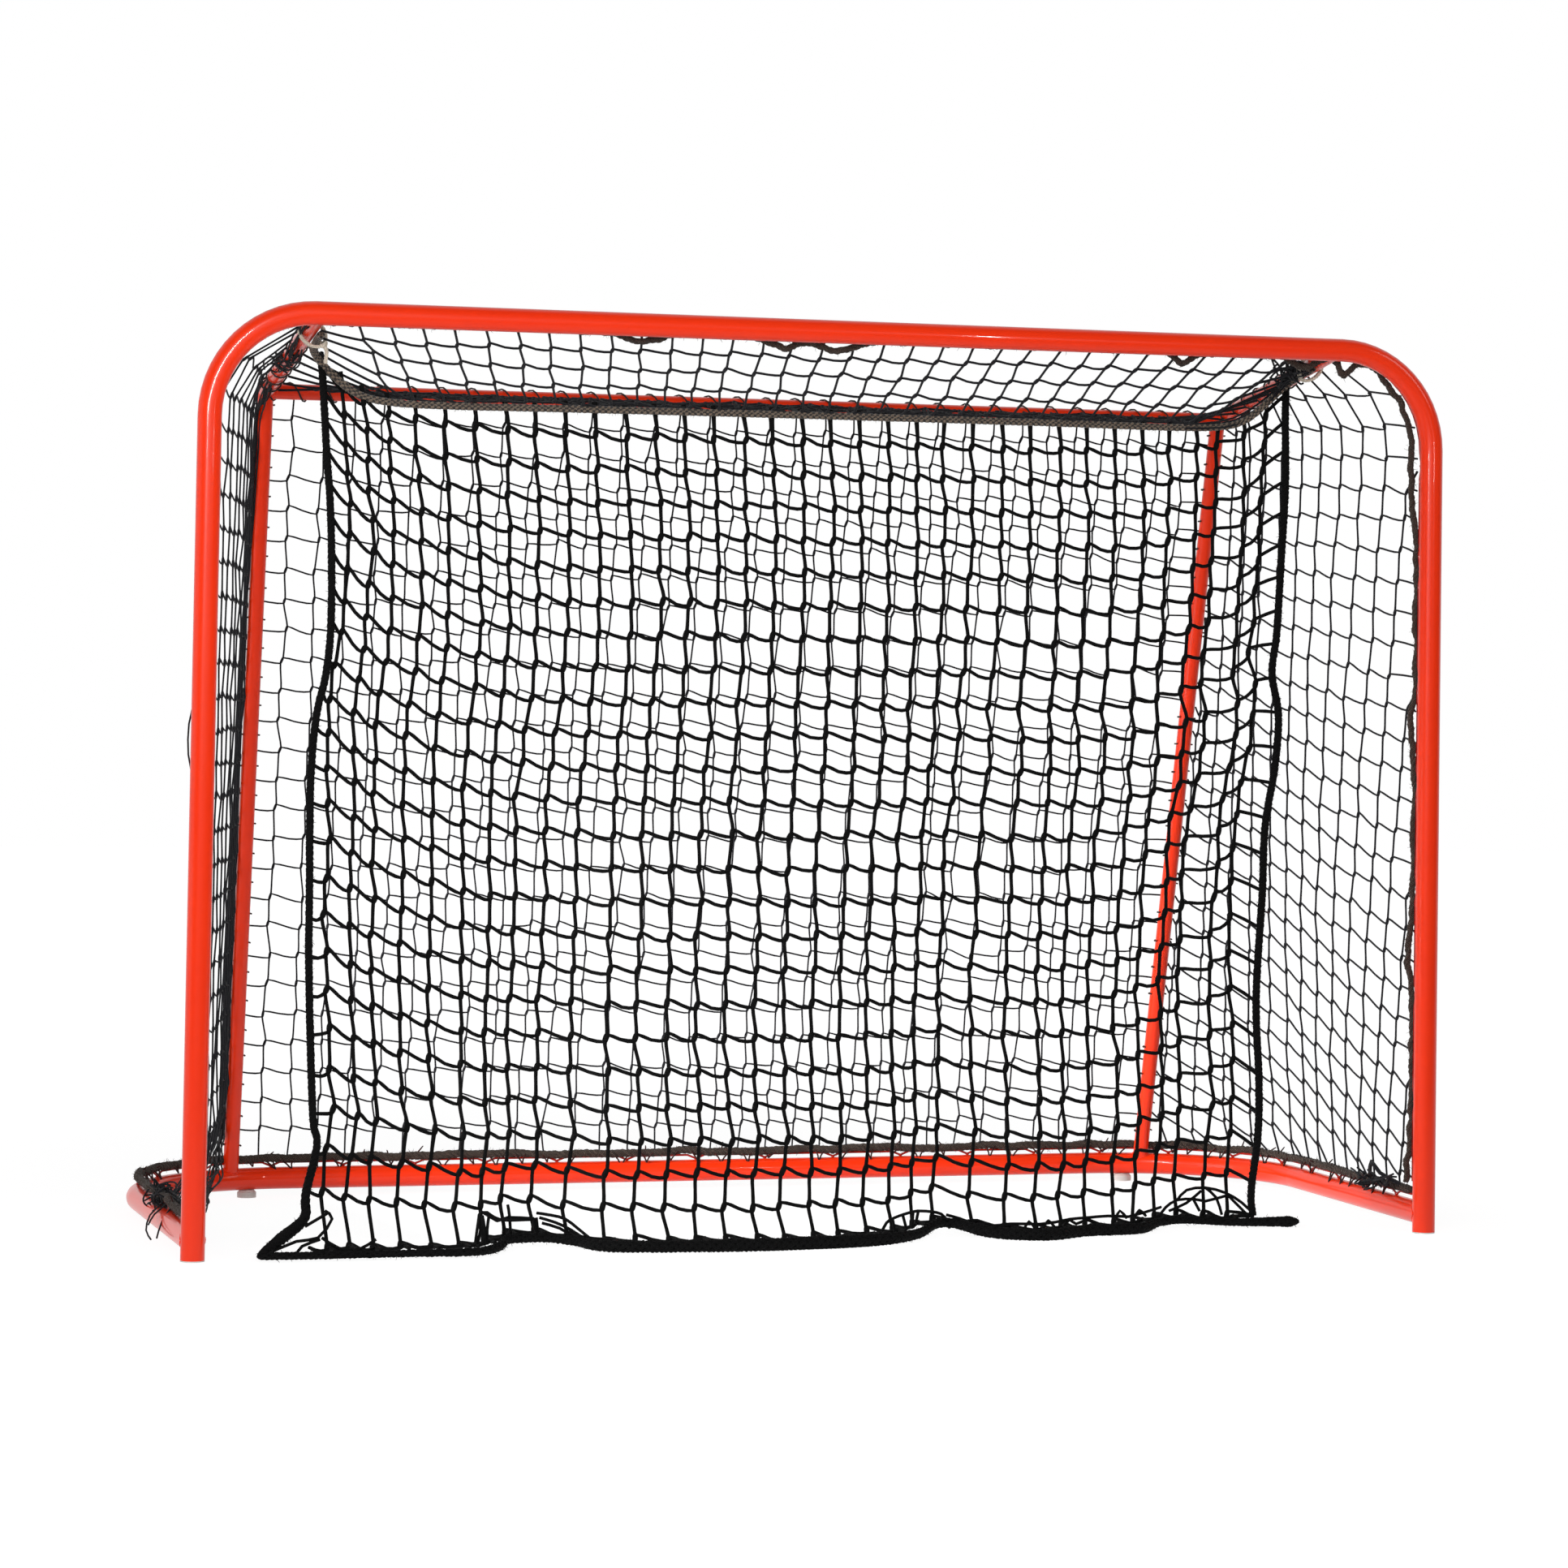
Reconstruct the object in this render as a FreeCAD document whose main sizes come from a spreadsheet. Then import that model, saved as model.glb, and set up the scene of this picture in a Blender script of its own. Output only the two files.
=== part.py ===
import FreeCAD, Part
import math
import os

# A floorball match goal: a welded frame of bent steel tube, a laced outer net,
# and a drop net that hangs inside the mouth from a rope and swings about it.
# Millimetres, +Z up. The origin is on the floor, under the middle of the frame.
# X runs across the mouth and -Y points out of it, towards the field.

V = FreeCAD.Vector

SIZES = [
    ("opening_width", 1600, "clear width between the posts"),
    ("opening_height", 1150, "clear height under the crossbar"),
    ("floor_depth", 650, "clear depth at the floor, front tube to rear rail"),
    ("roof_depth", 400, "clear depth at the top, front tube to rear crossbar"),
    ("tube_od", 30, "outer diameter of the front tube and the base rail"),
    ("tube_wall", 2, "wall of that tube, which shows only round the post plugs"),
    ("stay_od", 21, "outer diameter of the rear crossbar, uprights and top rails"),
    ("front_bend_radius", 130, "centreline radius of the front tube's two corners"),
    ("rail_bend_radius", 230, "centreline radius of the base rail's rear corners"),
    ("rail_clearance", 10, "gap between the base rail and the floor"),
    ("roof_drop", 75, "rear crossbar's centre below the front crossbar's"),
    ("rear_inset", 141, "rear crossbar's ends inboard of the posts' centrelines"),
    ("foot_inset", 155, "uprights' feet inboard of the posts' centrelines"),
    ("roof_inset", 135, "top rails' front ends inboard of the posts' centrelines"),
    ("plug_rim", 1.5, "rim of a post plug, under the tube"),
    ("plug_depth", 14, "length of a post plug inside the tube"),
    ("plug_gap", 0.1, "gap between a post plug and the tube's bore"),
    ("glide_inset", 179, "glides under the rear rail, inboard of the posts"),
    ("glide_diameter", 26, "diameter of a glide"),
    ("glide_chamfer", 3, "chamfer round a glide's top edge"),
    ("glide_stem", 8, "diameter of the hole for a glide's stem"),
    ("glide_stem_length", 9, "length of a glide's stem above its top face"),
    ("glide_stem_gap", 0.1, "gap between a glide's stem and its hole"),
    ("wire_size", 3, "thickness of the lacing wire"),
    ("wire_standoff", 5, "rise of the lacing wire between its dips"),
    ("dip_width", 14, "length of one V-shaped dip of the lacing wire"),
    ("rail_dip_pitch", 100, "spacing of the dips along the base rail"),
    ("post_dip_pitch", 140, "spacing of the dips behind the front tube"),
    ("post_wire_inset", 8, "front lacing wire inboard of the tube's centreline"),
    ("wire_end_gap", 25, "end of a lacing wire to the tube that it stops at"),
    ("rope_bypass", 11, "how far a border rope steps aside where it passes a thin tube"),
    ("bypass_top", 18, "length of that step at its widest"),
    ("bypass_foot", 50, "length of that step in all"),
    ("rope_diameter", 7, "border rope of the outer net"),
    ("lay_gap", 0.3, "gap between a rope or net and what it lies on"),
    ("twine_size", 3, "thickness and width of the outer net's strands"),
    ("outer_mesh", 136, "knot spacing of the outer net"),
    ("net_border", 4, "solid edge strip of the outer net"),
    ("lashing_size", 2.5, "thickness of the twine that lashes the nets to the tubes"),
    ("lashing_advance", 5, "advance of the lashing twine in one turn"),
    ("drop_twine_size", 4.5, "thickness and width of the drop net's strands"),
    ("drop_mesh", 110, "knot spacing of the drop net"),
    ("drop_net_inset", 165, "drop net's sides inboard of the posts"),
    ("drop_setback", 150, "drop net's top rope behind the front tube's centre"),
    ("drop_sag", 86, "drop net's top rope below the crossbar's underside"),
    ("drop_rope_diameter", 10, "top rope of the drop net"),
    ("drop_level_inset", 215, "ends of the top rope's level stretch inboard of the posts"),
    ("trough_inset", 275, "ends of the top net's fold over that rope inboard of the posts"),
    ("rope_tail_depth", 60, "top rope's ends behind the front tube's centre"),
    ("tie_depth", 85, "corner ties behind the front tube's centre"),
    ("tie_diameter", 5, "cord that ties the top rope to the top rails"),
    ("drop_border_diameter", 9, "side ropes of the drop net"),
    ("lead_rope_diameter", 16, "weighted rope along the drop net's foot"),
    ("lead_rope_left_inset", 100, "weighted rope's left end inboard of the left post"),
    ("lead_rope_right_inset", 135, "weighted rope's right end inboard of the right post"),
    ("drop_floor_gap", 0.3, "weighted rope to the floor when the net hangs plumb"),
    ("drop_rest_forward", 135, "weighted rope forward of plumb, as photographed"),
]

doc = FreeCAD.newDocument("FloorballGoal")
sheet = doc.addObject("Spreadsheet::Sheet", "Sizes")
for row, (alias, value, note) in enumerate(SIZES, start=1):
    sheet.set(f"A{row}", note)
    sheet.set(f"B{row}", str(value))
    sheet.setAlias(f"B{row}", alias)
doc.recompute()


def size(alias):
    return float(sheet.get(alias))


# Places that follow from the sizes. Every depth is measured back from the plane of
# the front tube's centreline.
tube_r = size("tube_od") / 2
stay_r = size("stay_od") / 2
half_width = size("opening_width") / 2 + tube_r
crossbar_z = size("opening_height") + tube_r
rail_depth = tube_r + size("floor_depth") + tube_r
rail_z = size("rail_clearance") + tube_r
rear_top_depth = tube_r + size("roof_depth") + stay_r
rear_top_z = crossbar_z - size("roof_drop")
lay_gap = size("lay_gap")


def place(x, depth, z):
    return V(x, depth - rail_depth / 2, z)


def from_middle(inset):
    """How far from the middle something lies that is set inboard of the posts."""
    return half_width - size(inset)


def rail_depth_at(x):
    """Depth of the base rail's centreline at a place across the goal."""
    radius = size("rail_bend_radius")
    into_bend = max(0, abs(x) - (half_width - radius))
    return rail_depth - radius + math.sqrt(radius**2 - into_bend**2)


def top_rail_point(sign, depth, inboard=0, below=0):
    """A point on a top rail's centreline, or moved inboard of it and below it."""
    share = depth / rear_top_depth
    front, rear = from_middle("roof_inset"), from_middle("rear_inset")
    x = front + share * (rear - front) - inboard
    return place(sign * x, depth, crossbar_z - share * size("roof_drop") - below)


def upright_point(sign, z, outboard=0, behind=0):
    """A point on an upright's centreline, or moved outboard of it and behind it."""
    share = (z - rail_z) / (rear_top_z - rail_z)
    foot, top = from_middle("foot_inset"), from_middle("rear_inset")
    x = foot + share * (top - foot) + outboard
    foot_depth = rail_depth_at(foot)
    depth = foot_depth + share * (rear_top_depth - foot_depth) + behind
    return place(sign * x, depth, z)


SIDES = (("left", -1), ("right", 1))
nodes = {}


def add_node(label, feature):
    feature.Label = label
    nodes[label] = feature


def solid_node(label, shape, placement=FreeCAD.Placement()):
    feature = doc.addObject("Part::Feature", label)
    feature.Shape = shape
    feature.Placement = placement
    add_node(label, feature)


# The frame's tubes. The two thick ones are fused from rods and quarter rings, and the
# thinner ones are coped to them. They are welded shut, so they are drawn solid, apart
# from the sockets that hold the plugs and the glides.

HALF = "(Sizes.opening_width / 2 + Sizes.tube_od / 2)"
CROSSBAR_Z = "(Sizes.opening_height + Sizes.tube_od / 2)"
RAIL_DEPTH = "(Sizes.floor_depth + Sizes.tube_od)"
RAIL_Z = "(Sizes.rail_clearance + Sizes.tube_od / 2)"
TUBE_R = "Sizes.tube_od / 2"
TUBE_BORE_R = "(Sizes.tube_od / 2 - Sizes.tube_wall)"
STAY_R = "Sizes.stay_od / 2"
ALONG_X = FreeCAD.Rotation(V(0, 0, 1), V(1, 0, 0))
ALONG_Y = FreeCAD.Rotation(V(0, 0, 1), V(0, 1, 0))


def bind(feature, x=None, y=None, z=None, **expressions):
    """Ties an object's sizes, and its place along X, Y and Z, to the sheet."""
    for name, expression in expressions.items():
        feature.setExpression(name, expression)
    for axis, expression in (("x", x), ("y", y), ("z", z)):
        if expression:
            feature.setExpression("Placement.Base." + axis, expression)
    return feature


def primitive(kind, name, turn=FreeCAD.Rotation(), **expressions):
    feature = doc.addObject("Part::" + kind, name)
    feature.Placement.Rotation = turn
    return bind(feature, **expressions)


def cut(name, base, tool):
    feature = doc.addObject("Part::Cut", name)
    feature.Base = base
    feature.Tool = tool
    return feature


def fuse(name, pieces):
    feature = doc.addObject("Part::MultiFuse", name)
    feature.Shapes = pieces
    feature.Refine = True
    return feature


def u_bar(name, reach, bend, start):
    """A round bar bent to a U: legs along +Y from start, crosspiece at reach."""
    pieces = [
        primitive(
            "Cylinder",
            name + "_crosspiece",
            ALONG_X,
            Radius=TUBE_R,
            Height=f"2 * ({HALF} - {bend})",
            x=f"{bend} - {HALF}",
            y=reach,
        )
    ]
    for side, sign in SIDES:
        leg = primitive(
            "Cylinder",
            f"{name}_{side}_leg",
            ALONG_Y,
            Radius=TUBE_R,
            Height=f"{reach} - {bend} - {start}",
            x=f"{sign} * {HALF}",
            y=start,
        )
        corner = primitive(
            "Torus",
            f"{name}_{side}_bend",
            FreeCAD.Rotation(V(0, 0, 1), 45 - 45 * sign),
            Radius1=bend,
            Radius2=TUBE_R,
            x=f"{sign} * ({HALF} - {bend})",
            y=f"{reach} - {bend}",
        )
        corner.Angle3 = 90
        pieces += [leg, corner]
    return fuse(name, pieces)


front_bar = u_bar("front_bar", CROSSBAR_Z, "Sizes.front_bend_radius", "Sizes.plug_rim")
front_bar.Placement.Rotation = FreeCAD.Rotation(V(0, 1, 0), V(0, 0, 1))
bind(front_bar, y=f"-{RAIL_DEPTH} / 2")
rail_bar = u_bar("rail_bar", RAIL_DEPTH, "Sizes.rail_bend_radius", "0")
bind(rail_bar, y=f"-{RAIL_DEPTH} / 2", z=RAIL_Z)

glide_x = from_middle("glide_inset")
glide_depth = rail_depth_at(glide_x)
plug_sockets, rail_cuts = [], []
for side, sign in SIDES:
    at_post = {"x": f"{sign} * {HALF}", "y": f"-{RAIL_DEPTH} / 2"}
    plug_socket = primitive(
        "Cylinder",
        side + "_plug_socket",
        Radius=TUBE_BORE_R,
        Height="Sizes.plug_rim + Sizes.plug_depth + Sizes.plug_gap",
        **at_post,
    )
    plug_sockets.append(plug_socket)
    post_cope = primitive(
        "Cylinder", side + "_post_cope", Radius=TUBE_R, Height=f"2 * {RAIL_Z}", **at_post
    )
    glide_hole = primitive(
        "Cylinder", side + "_glide_hole", Radius="Sizes.glide_stem / 2", Height=RAIL_Z
    )
    glide_hole.Placement.Base = place(sign * glide_x, glide_depth, 0)
    rail_cuts += [post_cope, glide_hole]
add_node("front_frame", cut("front_frame", front_bar, fuse("plug_sockets", plug_sockets)))
add_node("base_rail", cut("base_rail", rail_bar, fuse("rail_cuts", rail_cuts)))


def pointing(direction):
    return FreeCAD.Rotation(V(0, 0, 1), direction)


def rod(name, start, end, radius):
    feature = primitive("Cylinder", name, pointing(end - start), Radius=radius)
    feature.Height = (end - start).Length
    feature.Placement.Base = start
    return feature


def half_space(name, point, outward):
    """A block with one face through the point, on the side that outward points to."""
    side = 6 * size("stay_od")
    block = doc.addObject("Part::Box", name)
    block.Length = block.Width = block.Height = side
    turn = pointing(outward)
    corner = point - turn.multVec(V(side / 2, side / 2, 0))
    block.Placement = FreeCAD.Placement(corner, turn)
    return block


rods_at_corner = []
for side, sign in SIDES:
    roof_front = top_rail_point(sign, 0)
    rear_corner = top_rail_point(sign, rear_top_depth)
    foot = upright_point(sign, rail_z)
    to_front = (roof_front - rear_corner).normalize()
    to_foot = (foot - rear_corner).normalize()
    mitre = (to_front - to_foot).normalize()
    for name, start, direction, outward, bar in (
        (side + "_top_rail", roof_front, to_front, mitre * -1, front_bar),
        (side + "_upright", foot, to_foot, mitre, rail_bar),
    ):
        end = rear_corner - direction * size("stay_od")
        blank = rod(name + "_blank", start, end, STAY_R)
        beyond = half_space(name + "_mitre", rear_corner, outward)
        mitred = cut(name + "_mitred", blank, beyond)
        rods_at_corner.append(mitred)
        add_node(name, cut(name, mitred, bar))

rear_ends = [top_rail_point(sign, rear_top_depth) for side, sign in SIDES]
rear_blank = rod("rear_crossbar_blank", *rear_ends, STAY_R)
rear_corners = fuse("rear_corners", rods_at_corner)
add_node("rear_crossbar", cut("rear_crossbar", rear_blank, rear_corners))

# Plugs in the posts' lower ends, and glides under the rear of the base rail.
plugs, glides = [], []
for side, sign in SIDES:
    rim = primitive(
        "Cylinder", side + "_plug_rim", Radius=TUBE_R, Height="Sizes.plug_rim"
    )
    spigot = primitive(
        "Cylinder",
        side + "_plug_spigot",
        Radius=f"{TUBE_BORE_R} - Sizes.plug_gap",
        Height="Sizes.plug_rim + Sizes.plug_depth",
    )
    for piece in (rim, spigot):
        bind(piece, x=f"{sign} * {HALF}", y=f"-{RAIL_DEPTH} / 2")
    plugs.append(fuse(side + "_plug", [rim, spigot]))

    foot = place(sign * glide_x, glide_depth, 0)
    puck = primitive(
        "Cylinder",
        side + "_glide_puck",
        Radius="Sizes.glide_diameter / 2",
        Height="Sizes.rail_clearance - Sizes.glide_chamfer",
    )
    shoulder = primitive(
        "Cone",
        side + "_glide_shoulder",
        Radius1="Sizes.glide_diameter / 2",
        Radius2="Sizes.glide_diameter / 2 - Sizes.glide_chamfer",
        Height="Sizes.glide_chamfer",
    )
    stem = primitive(
        "Cylinder",
        side + "_glide_stem",
        Radius="Sizes.glide_stem / 2 - Sizes.glide_stem_gap",
        Height="Sizes.rail_clearance + Sizes.glide_stem_length",
    )
    puck.Placement.Base = shoulder.Placement.Base = stem.Placement.Base = foot
    bind(shoulder, z="Sizes.rail_clearance - Sizes.glide_chamfer")
    glides.append(fuse(side + "_glide", [puck, shoulder, stem]))

for label, pair in (("post_plugs", plugs), ("rail_glides", glides)):
    group = doc.addObject("Part::Compound", label)
    group.Links = pair
    add_node(label, group)


# Wires, ropes and twine of small section: a prism along each straight run, mitred
# where two runs meet. A wire is square, and a rope has six sides.


def mitred_rod(points, across, corner_radius, sides):
    runs = [(after - here).normalize() for here, after in zip(points, points[1:])]
    side = (across - runs[0] * across.dot(runs[0])).normalize()
    up = runs[0].cross(side)
    angles = [math.pi * (2 * number + 1) / sides for number in range(sides)]
    ring = [
        points[0] + (side * math.cos(a) + up * math.sin(a)) * corner_radius
        for a in angles
    ]
    rings = [ring]
    for number, run in enumerate(runs):
        ahead = runs[min(number + 1, len(runs) - 1)]
        mitre = run + ahead
        end = points[number + 1]
        ring = [c + run * ((end - c).dot(mitre) / run.dot(mitre)) for c in ring]
        rings.append(ring)
    outlines = [ring + ring[:1] for ring in (rings[0], rings[-1])]
    for ring, after in zip(rings, rings[1:]):
        for n in range(sides):
            outlines.append([ring[n - 1], ring[n], after[n], after[n - 1], ring[n - 1]])
    shell = Part.makeShell([Part.Face(Part.makePolygon(outline)) for outline in outlines])
    shell.sewShape()
    solid = Part.makeSolid(shell)
    if solid.Volume < 0:
        solid.reverse()
    return solid


def square_wire(points, across, thickness):
    return mitred_rod(points, across, thickness * math.sqrt(0.5), 4)


class Route:
    """A U in a plane: legs up from a start, round bends, and a level crosspiece."""

    def __init__(self, half, reach, bend, start):
        self.half, self.reach, self.bend, self.start = half, reach, bend, start
        self.leg = reach - bend - start
        self.arc = bend * math.pi / 2
        self.length = 2 * (self.leg + self.arc + half - bend)

    def at(self, distance, aside=0):
        """The point at a distance along the U, as across and up, moved outward of it."""
        sign = -1 if distance < self.length / 2 else 1
        done = min(distance, self.length - distance)
        if done <= self.leg:
            return sign * (self.half + aside), self.start + done
        done -= self.leg
        if done <= self.arc:
            angle = done / self.bend
            radius = self.bend + aside
            across = self.half - self.bend + radius * math.cos(angle)
            return sign * across, self.reach - self.bend + radius * math.sin(angle)
        return sign * (self.half - self.bend - done + self.arc), self.reach + aside

    def distance_at(self, across):
        """The distance from the start to a place across, within or after the bend."""
        into_bend = across - (self.half - self.bend)
        if into_bend <= 0:
            return self.leg + self.arc - into_bend
        return self.leg + self.bend * math.acos(into_bend / self.bend)

    def bend_distances(self, steps):
        """Distances of points round both bends."""
        first = [self.leg + self.arc * number / steps for number in range(steps + 1)]
        return first + [self.length - distance for distance in first]

    def bypass_stations(self, steps, passed, aside):
        """Ends, points round both bends, and steps aside where a tube is passed."""
        middle = self.distance_at(passed)
        middles = (middle, self.length - middle)
        top, foot = size("bypass_top") / 2, size("bypass_foot") / 2
        stations = [(0, 0), (self.length, 0)]
        for distance in self.bend_distances(steps):
            if min(abs(distance - middle) for middle in middles) > foot + tube_r / 2:
                stations.append((distance, 0))
        for middle in middles:
            stations += [(middle - foot, 0), (middle - top, aside)]
            stations += [(middle + top, aside), (middle + foot, 0)]
        return sorted(stations)


BEND_STEPS = 6


def dip_stations(route, pitch, low):
    """The lacing wire's stations: a distance along the route and a height over it."""
    high = low + size("wire_standoff")
    width = size("dip_width")
    count = int((route.length - width) // pitch)
    first = (route.length - pitch * (count - 1)) / 2
    middles = [first + number * pitch for number in range(count)]
    stations = [(0, high), (route.length, high)]
    for middle in middles:
        stations += [(middle - width / 2, high), (middle, low), (middle + width / 2, high)]
    for distance in route.bend_distances(BEND_STEPS):
        if min(abs(distance - middle) for middle in middles) > width:
            stations.append((distance, high))
    return sorted(stations)


# Lacing wires, welded to the tubes at each dip, with the outer net's border rope laid
# along them. The dips are what takes the most skill to bend.
wire_r = size("wire_size") / 2
rope_r = size("rope_diameter") / 2
rope_rise = size("wire_standoff") + wire_r + lay_gap + rope_r
inset = size("post_wire_inset")
rail_start = tube_r + size("wire_end_gap")
dip_slope = math.atan(size("wire_standoff") / (size("dip_width") / 2))
dip_seat = wire_r / math.cos(dip_slope)
rail_wire_z = rail_z + tube_r + dip_seat
rail_rope_z = rail_wire_z + rope_rise
post_start = rail_z + tube_r + size("wire_end_gap")
post_wire_depth = math.sqrt(tube_r**2 - (inset - wire_r) ** 2) + dip_seat
post_rope_depth = post_wire_depth + rope_rise
rail_route = Route(half_width, rail_depth, size("rail_bend_radius"), rail_start)
post_bend = size("front_bend_radius") - inset
post_route = Route(half_width - inset, crossbar_z - inset, post_bend, post_start)


def over_rail(point, height):
    return place(*point, height)


def behind_post(point, depth):
    return place(point[0], depth, point[1])


# Each wire is cut where a thin tube stands in its way, and the rope passes outside an
# upright and under a top rail.
bypass = size("rope_bypass")
doc.recompute()
for label, route, pitch, lowest, seat, blocking, passed, aside in (
    ("base", rail_route, size("rail_dip_pitch"), rail_wire_z, over_rail,
     "_upright", from_middle("foot_inset"), bypass),
    ("front", post_route, size("post_dip_pitch"), post_wire_depth, behind_post,
     "_top_rail", from_middle("roof_inset"), -bypass),
):
    stations = dip_stations(route, pitch, lowest)
    wire_line = [seat(route.at(distance), rise) for distance, rise in stations]
    wire = square_wire(wire_line, V(1, 0, 0), size("wire_size"))
    for side, sign in SIDES:
        wire = wire.cut(nodes[side + blocking].Shape)
    solid_node(label + "_lacing_wire", wire)
    rope_line = [
        seat(route.at(distance, outward), lowest + rope_rise)
        for distance, outward in route.bypass_stations(BEND_STEPS, passed, aside)
    ]
    solid_node(label + "_border_rope", mitred_rod(rope_line, V(1, 0, 0), rope_r, 6))


# Nets. A net is a thin folded sheet, cut through by the cells of a square grid. Seen
# along its thickness it has a convex outline, and each edge keeps a solid strip.


def clipped(polygon, point, inward):
    """The part of a convex polygon on the inward side of a line through a point."""
    heights = [
        (p[0] - point[0]) * inward[0] + (p[1] - point[1]) * inward[1] for p in polygon
    ]
    kept = []
    for number, here in enumerate(polygon):
        before, h0, h1 = polygon[number - 1], heights[number - 1], heights[number]
        if (h0 < 0) != (h1 < 0):
            t = h0 / (h0 - h1)
            crossing = [b + t * (c - b) for b, c in zip(before, here)]
            kept.append(tuple(crossing))
        if h1 >= 0:
            kept.append(here)
    return kept


def area(polygon):
    pairs = [(polygon[n - 1], polygon[n]) for n in range(len(polygon))]
    return sum(a[0] * b[1] - b[0] * a[1] for a, b in pairs) / 2


def grid_cells(outline, mesh, strand, border):
    """The openings of a square grid inside a convex outline, strands and strip left."""
    if area(outline) < 0:
        outline = outline[::-1]
    limits = []
    for number, here in enumerate(outline):
        before = outline[number - 1]
        run = (here[0] - before[0], here[1] - before[1])
        length = math.hypot(*run)
        inward = (-run[1] / length, run[0] / length)
        moved = (before[0] + inward[0] * border, before[1] + inward[1] * border)
        limits.append((moved, inward))
    spans = []
    for values in zip(*outline):
        first, last = math.floor(min(values) / mesh), math.ceil(max(values) / mesh)
        spans.append(
            [(k * mesh + strand / 2, (k + 1) * mesh - strand / 2) for k in range(first, last)]
        )
    cells = []
    for left, right in spans[0]:
        for low, high in spans[1]:
            cell = [(left, low), (right, low), (right, high), (left, high)]
            for point, inward in limits:
                cell = clipped(cell, point, inward)
            cell = [p for n, p in enumerate(cell) if math.dist(p, cell[n - 1]) > strand / 2]
            if len(cell) > 2 and area(cell) > mesh * strand:
                cells.append(cell)
    return cells


def netting(outline, facets, axis, thickness, mesh, strand, border):
    """A net from flat facets with thickness along one axis, X, Y or Z as 0, 1 or 2."""
    across = [n for n in range(3) if n != axis]
    step = V(*[thickness if n == axis else 0 for n in range(3)])
    sheets = []
    for corners in facets:
        sheets.append(Part.Face(Part.makePolygon(corners + corners[:1])).extrude(step))
    net = sheets[0]
    if len(sheets) > 1:
        net = net.multiFuse(sheets[1:]).removeSplitter()
    levels = [corner[axis] for corners in facets for corner in corners]
    low = min(levels) - 2 * abs(thickness)
    through = V(*[max(levels) + 2 * abs(thickness) - low if n == axis else 0 for n in range(3)])
    flat_outline = [(corner[across[0]], corner[across[1]]) for corner in outline]
    cells = []
    for cell in grid_cells(flat_outline, mesh, strand, border):
        corners = []
        for point in cell:
            corner = V(0, 0, 0)
            corner[across[0]], corner[across[1]] = point
            corner[axis] = low
            corners.append(corner)
        cells.append(Part.Face(Part.makePolygon(corners + corners[:1])).extrude(through))
    holed = net.cut(Part.makeCompound(cells))
    return holed.Solids[0] if len(holed.Solids) == 1 else holed


def outer_net(label, outline, facets, axis, direction):
    strand = size("twine_size")
    mesh, border = size("outer_mesh"), size("net_border")
    thickness = direction * strand
    solid_node(label, netting(outline, facets, axis, thickness, mesh, strand, border))


# The back net hangs behind the uprights, in one plane with them.
net_foot_z = rail_rope_z + rope_r + lay_gap
back_top_z = rear_top_z + stay_r / 2
upright_run = upright_point(1, rear_top_z) - upright_point(1, rail_z)
behind_upright = (stay_r + lay_gap) * math.hypot(upright_run.y, upright_run.z) / upright_run.z
back_outline = [
    upright_point(sign, z, behind=behind_upright)
    for sign, z in ((-1, net_foot_z), (1, net_foot_z), (1, back_top_z), (-1, back_top_z))
]
outer_net("back_net", back_outline, [back_outline], 1, 1)

# The top net runs from the crossbar down to the drop net's rope, which pulls it into
# a trough, and up again to the rear crossbar.
drop_axis_z = size("opening_height") - size("drop_sag")
drop_rope_r = size("drop_rope_diameter") / 2
beside_stay = stay_r + lay_gap
front_edge_depth = post_rope_depth + rope_r + lay_gap
rear_edge_depth = rear_top_depth - beside_stay
front_edge_z = crossbar_z - inset - size("twine_size") / 2
roof_edges = []
for side, sign in SIDES:
    front = top_rail_point(sign, front_edge_depth, inboard=beside_stay)
    front.z = front_edge_z
    trough_z = drop_axis_z + drop_rope_r + lay_gap
    trough = place(sign * from_middle("trough_inset"), size("drop_setback"), trough_z)
    rear = top_rail_point(sign, rear_edge_depth, inboard=beside_stay)
    roof_edges.append((front, trough, rear))
(front_left, trough_left, rear_left), (front_right, trough_right, rear_right) = roof_edges
outer_net(
    "top_net",
    [front_left, front_right, rear_right, rear_left],
    [
        [front_left, front_right, trough_right, trough_left],
        [trough_left, trough_right, rear_right, rear_left],
        [front_left, trough_left, rear_left],
        [front_right, trough_right, rear_right],
    ],
    2,
    1,
)

# A side net fans out from the rear top corner to the post and round the base rail.
FAN_STEPS = 3
for side, sign in SIDES:
    rear_top = top_rail_point(sign, rear_edge_depth, inboard=-beside_stay)
    fan = [top_rail_point(sign, front_edge_depth, inboard=-beside_stay)]
    for distance in (post_route.leg + post_route.arc / 2, post_route.leg):
        across, z = post_route.at(distance)
        fan.append(place(-sign * across, front_edge_depth, z))
    fan.append(place(sign * post_route.half, front_edge_depth, net_foot_z))
    upright_foot = upright_point(sign, net_foot_z, outboard=beside_stay)
    foot_angle = math.acos((abs(upright_foot.x) - half_width + rail_route.bend) / rail_route.bend)
    for number in range(FAN_STEPS):
        distance = rail_route.leg + rail_route.bend * foot_angle * number / FAN_STEPS
        across, depth = rail_route.at(distance)
        fan.append(place(-sign * across, depth, net_foot_z))
    fan.append(upright_foot)
    facets = [[rear_top, here, after] for here, after in zip(fan, fan[1:])]
    outer_net(side + "_side_net", [rear_top] + fan, facets, 0, sign)


# Twine lashes the nets to the thin tubes, with one turn in the middle of each mesh.
LASHING_TURN = 6


def mid_mesh(low, high):
    """The middles of the grid's meshes between two coordinates."""
    mesh = size("outer_mesh")
    first, last = math.ceil(low / mesh - 0.5), math.floor(high / mesh - 0.5)
    return [(k + 0.5) * mesh for k in range(first, last + 1)]


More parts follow.
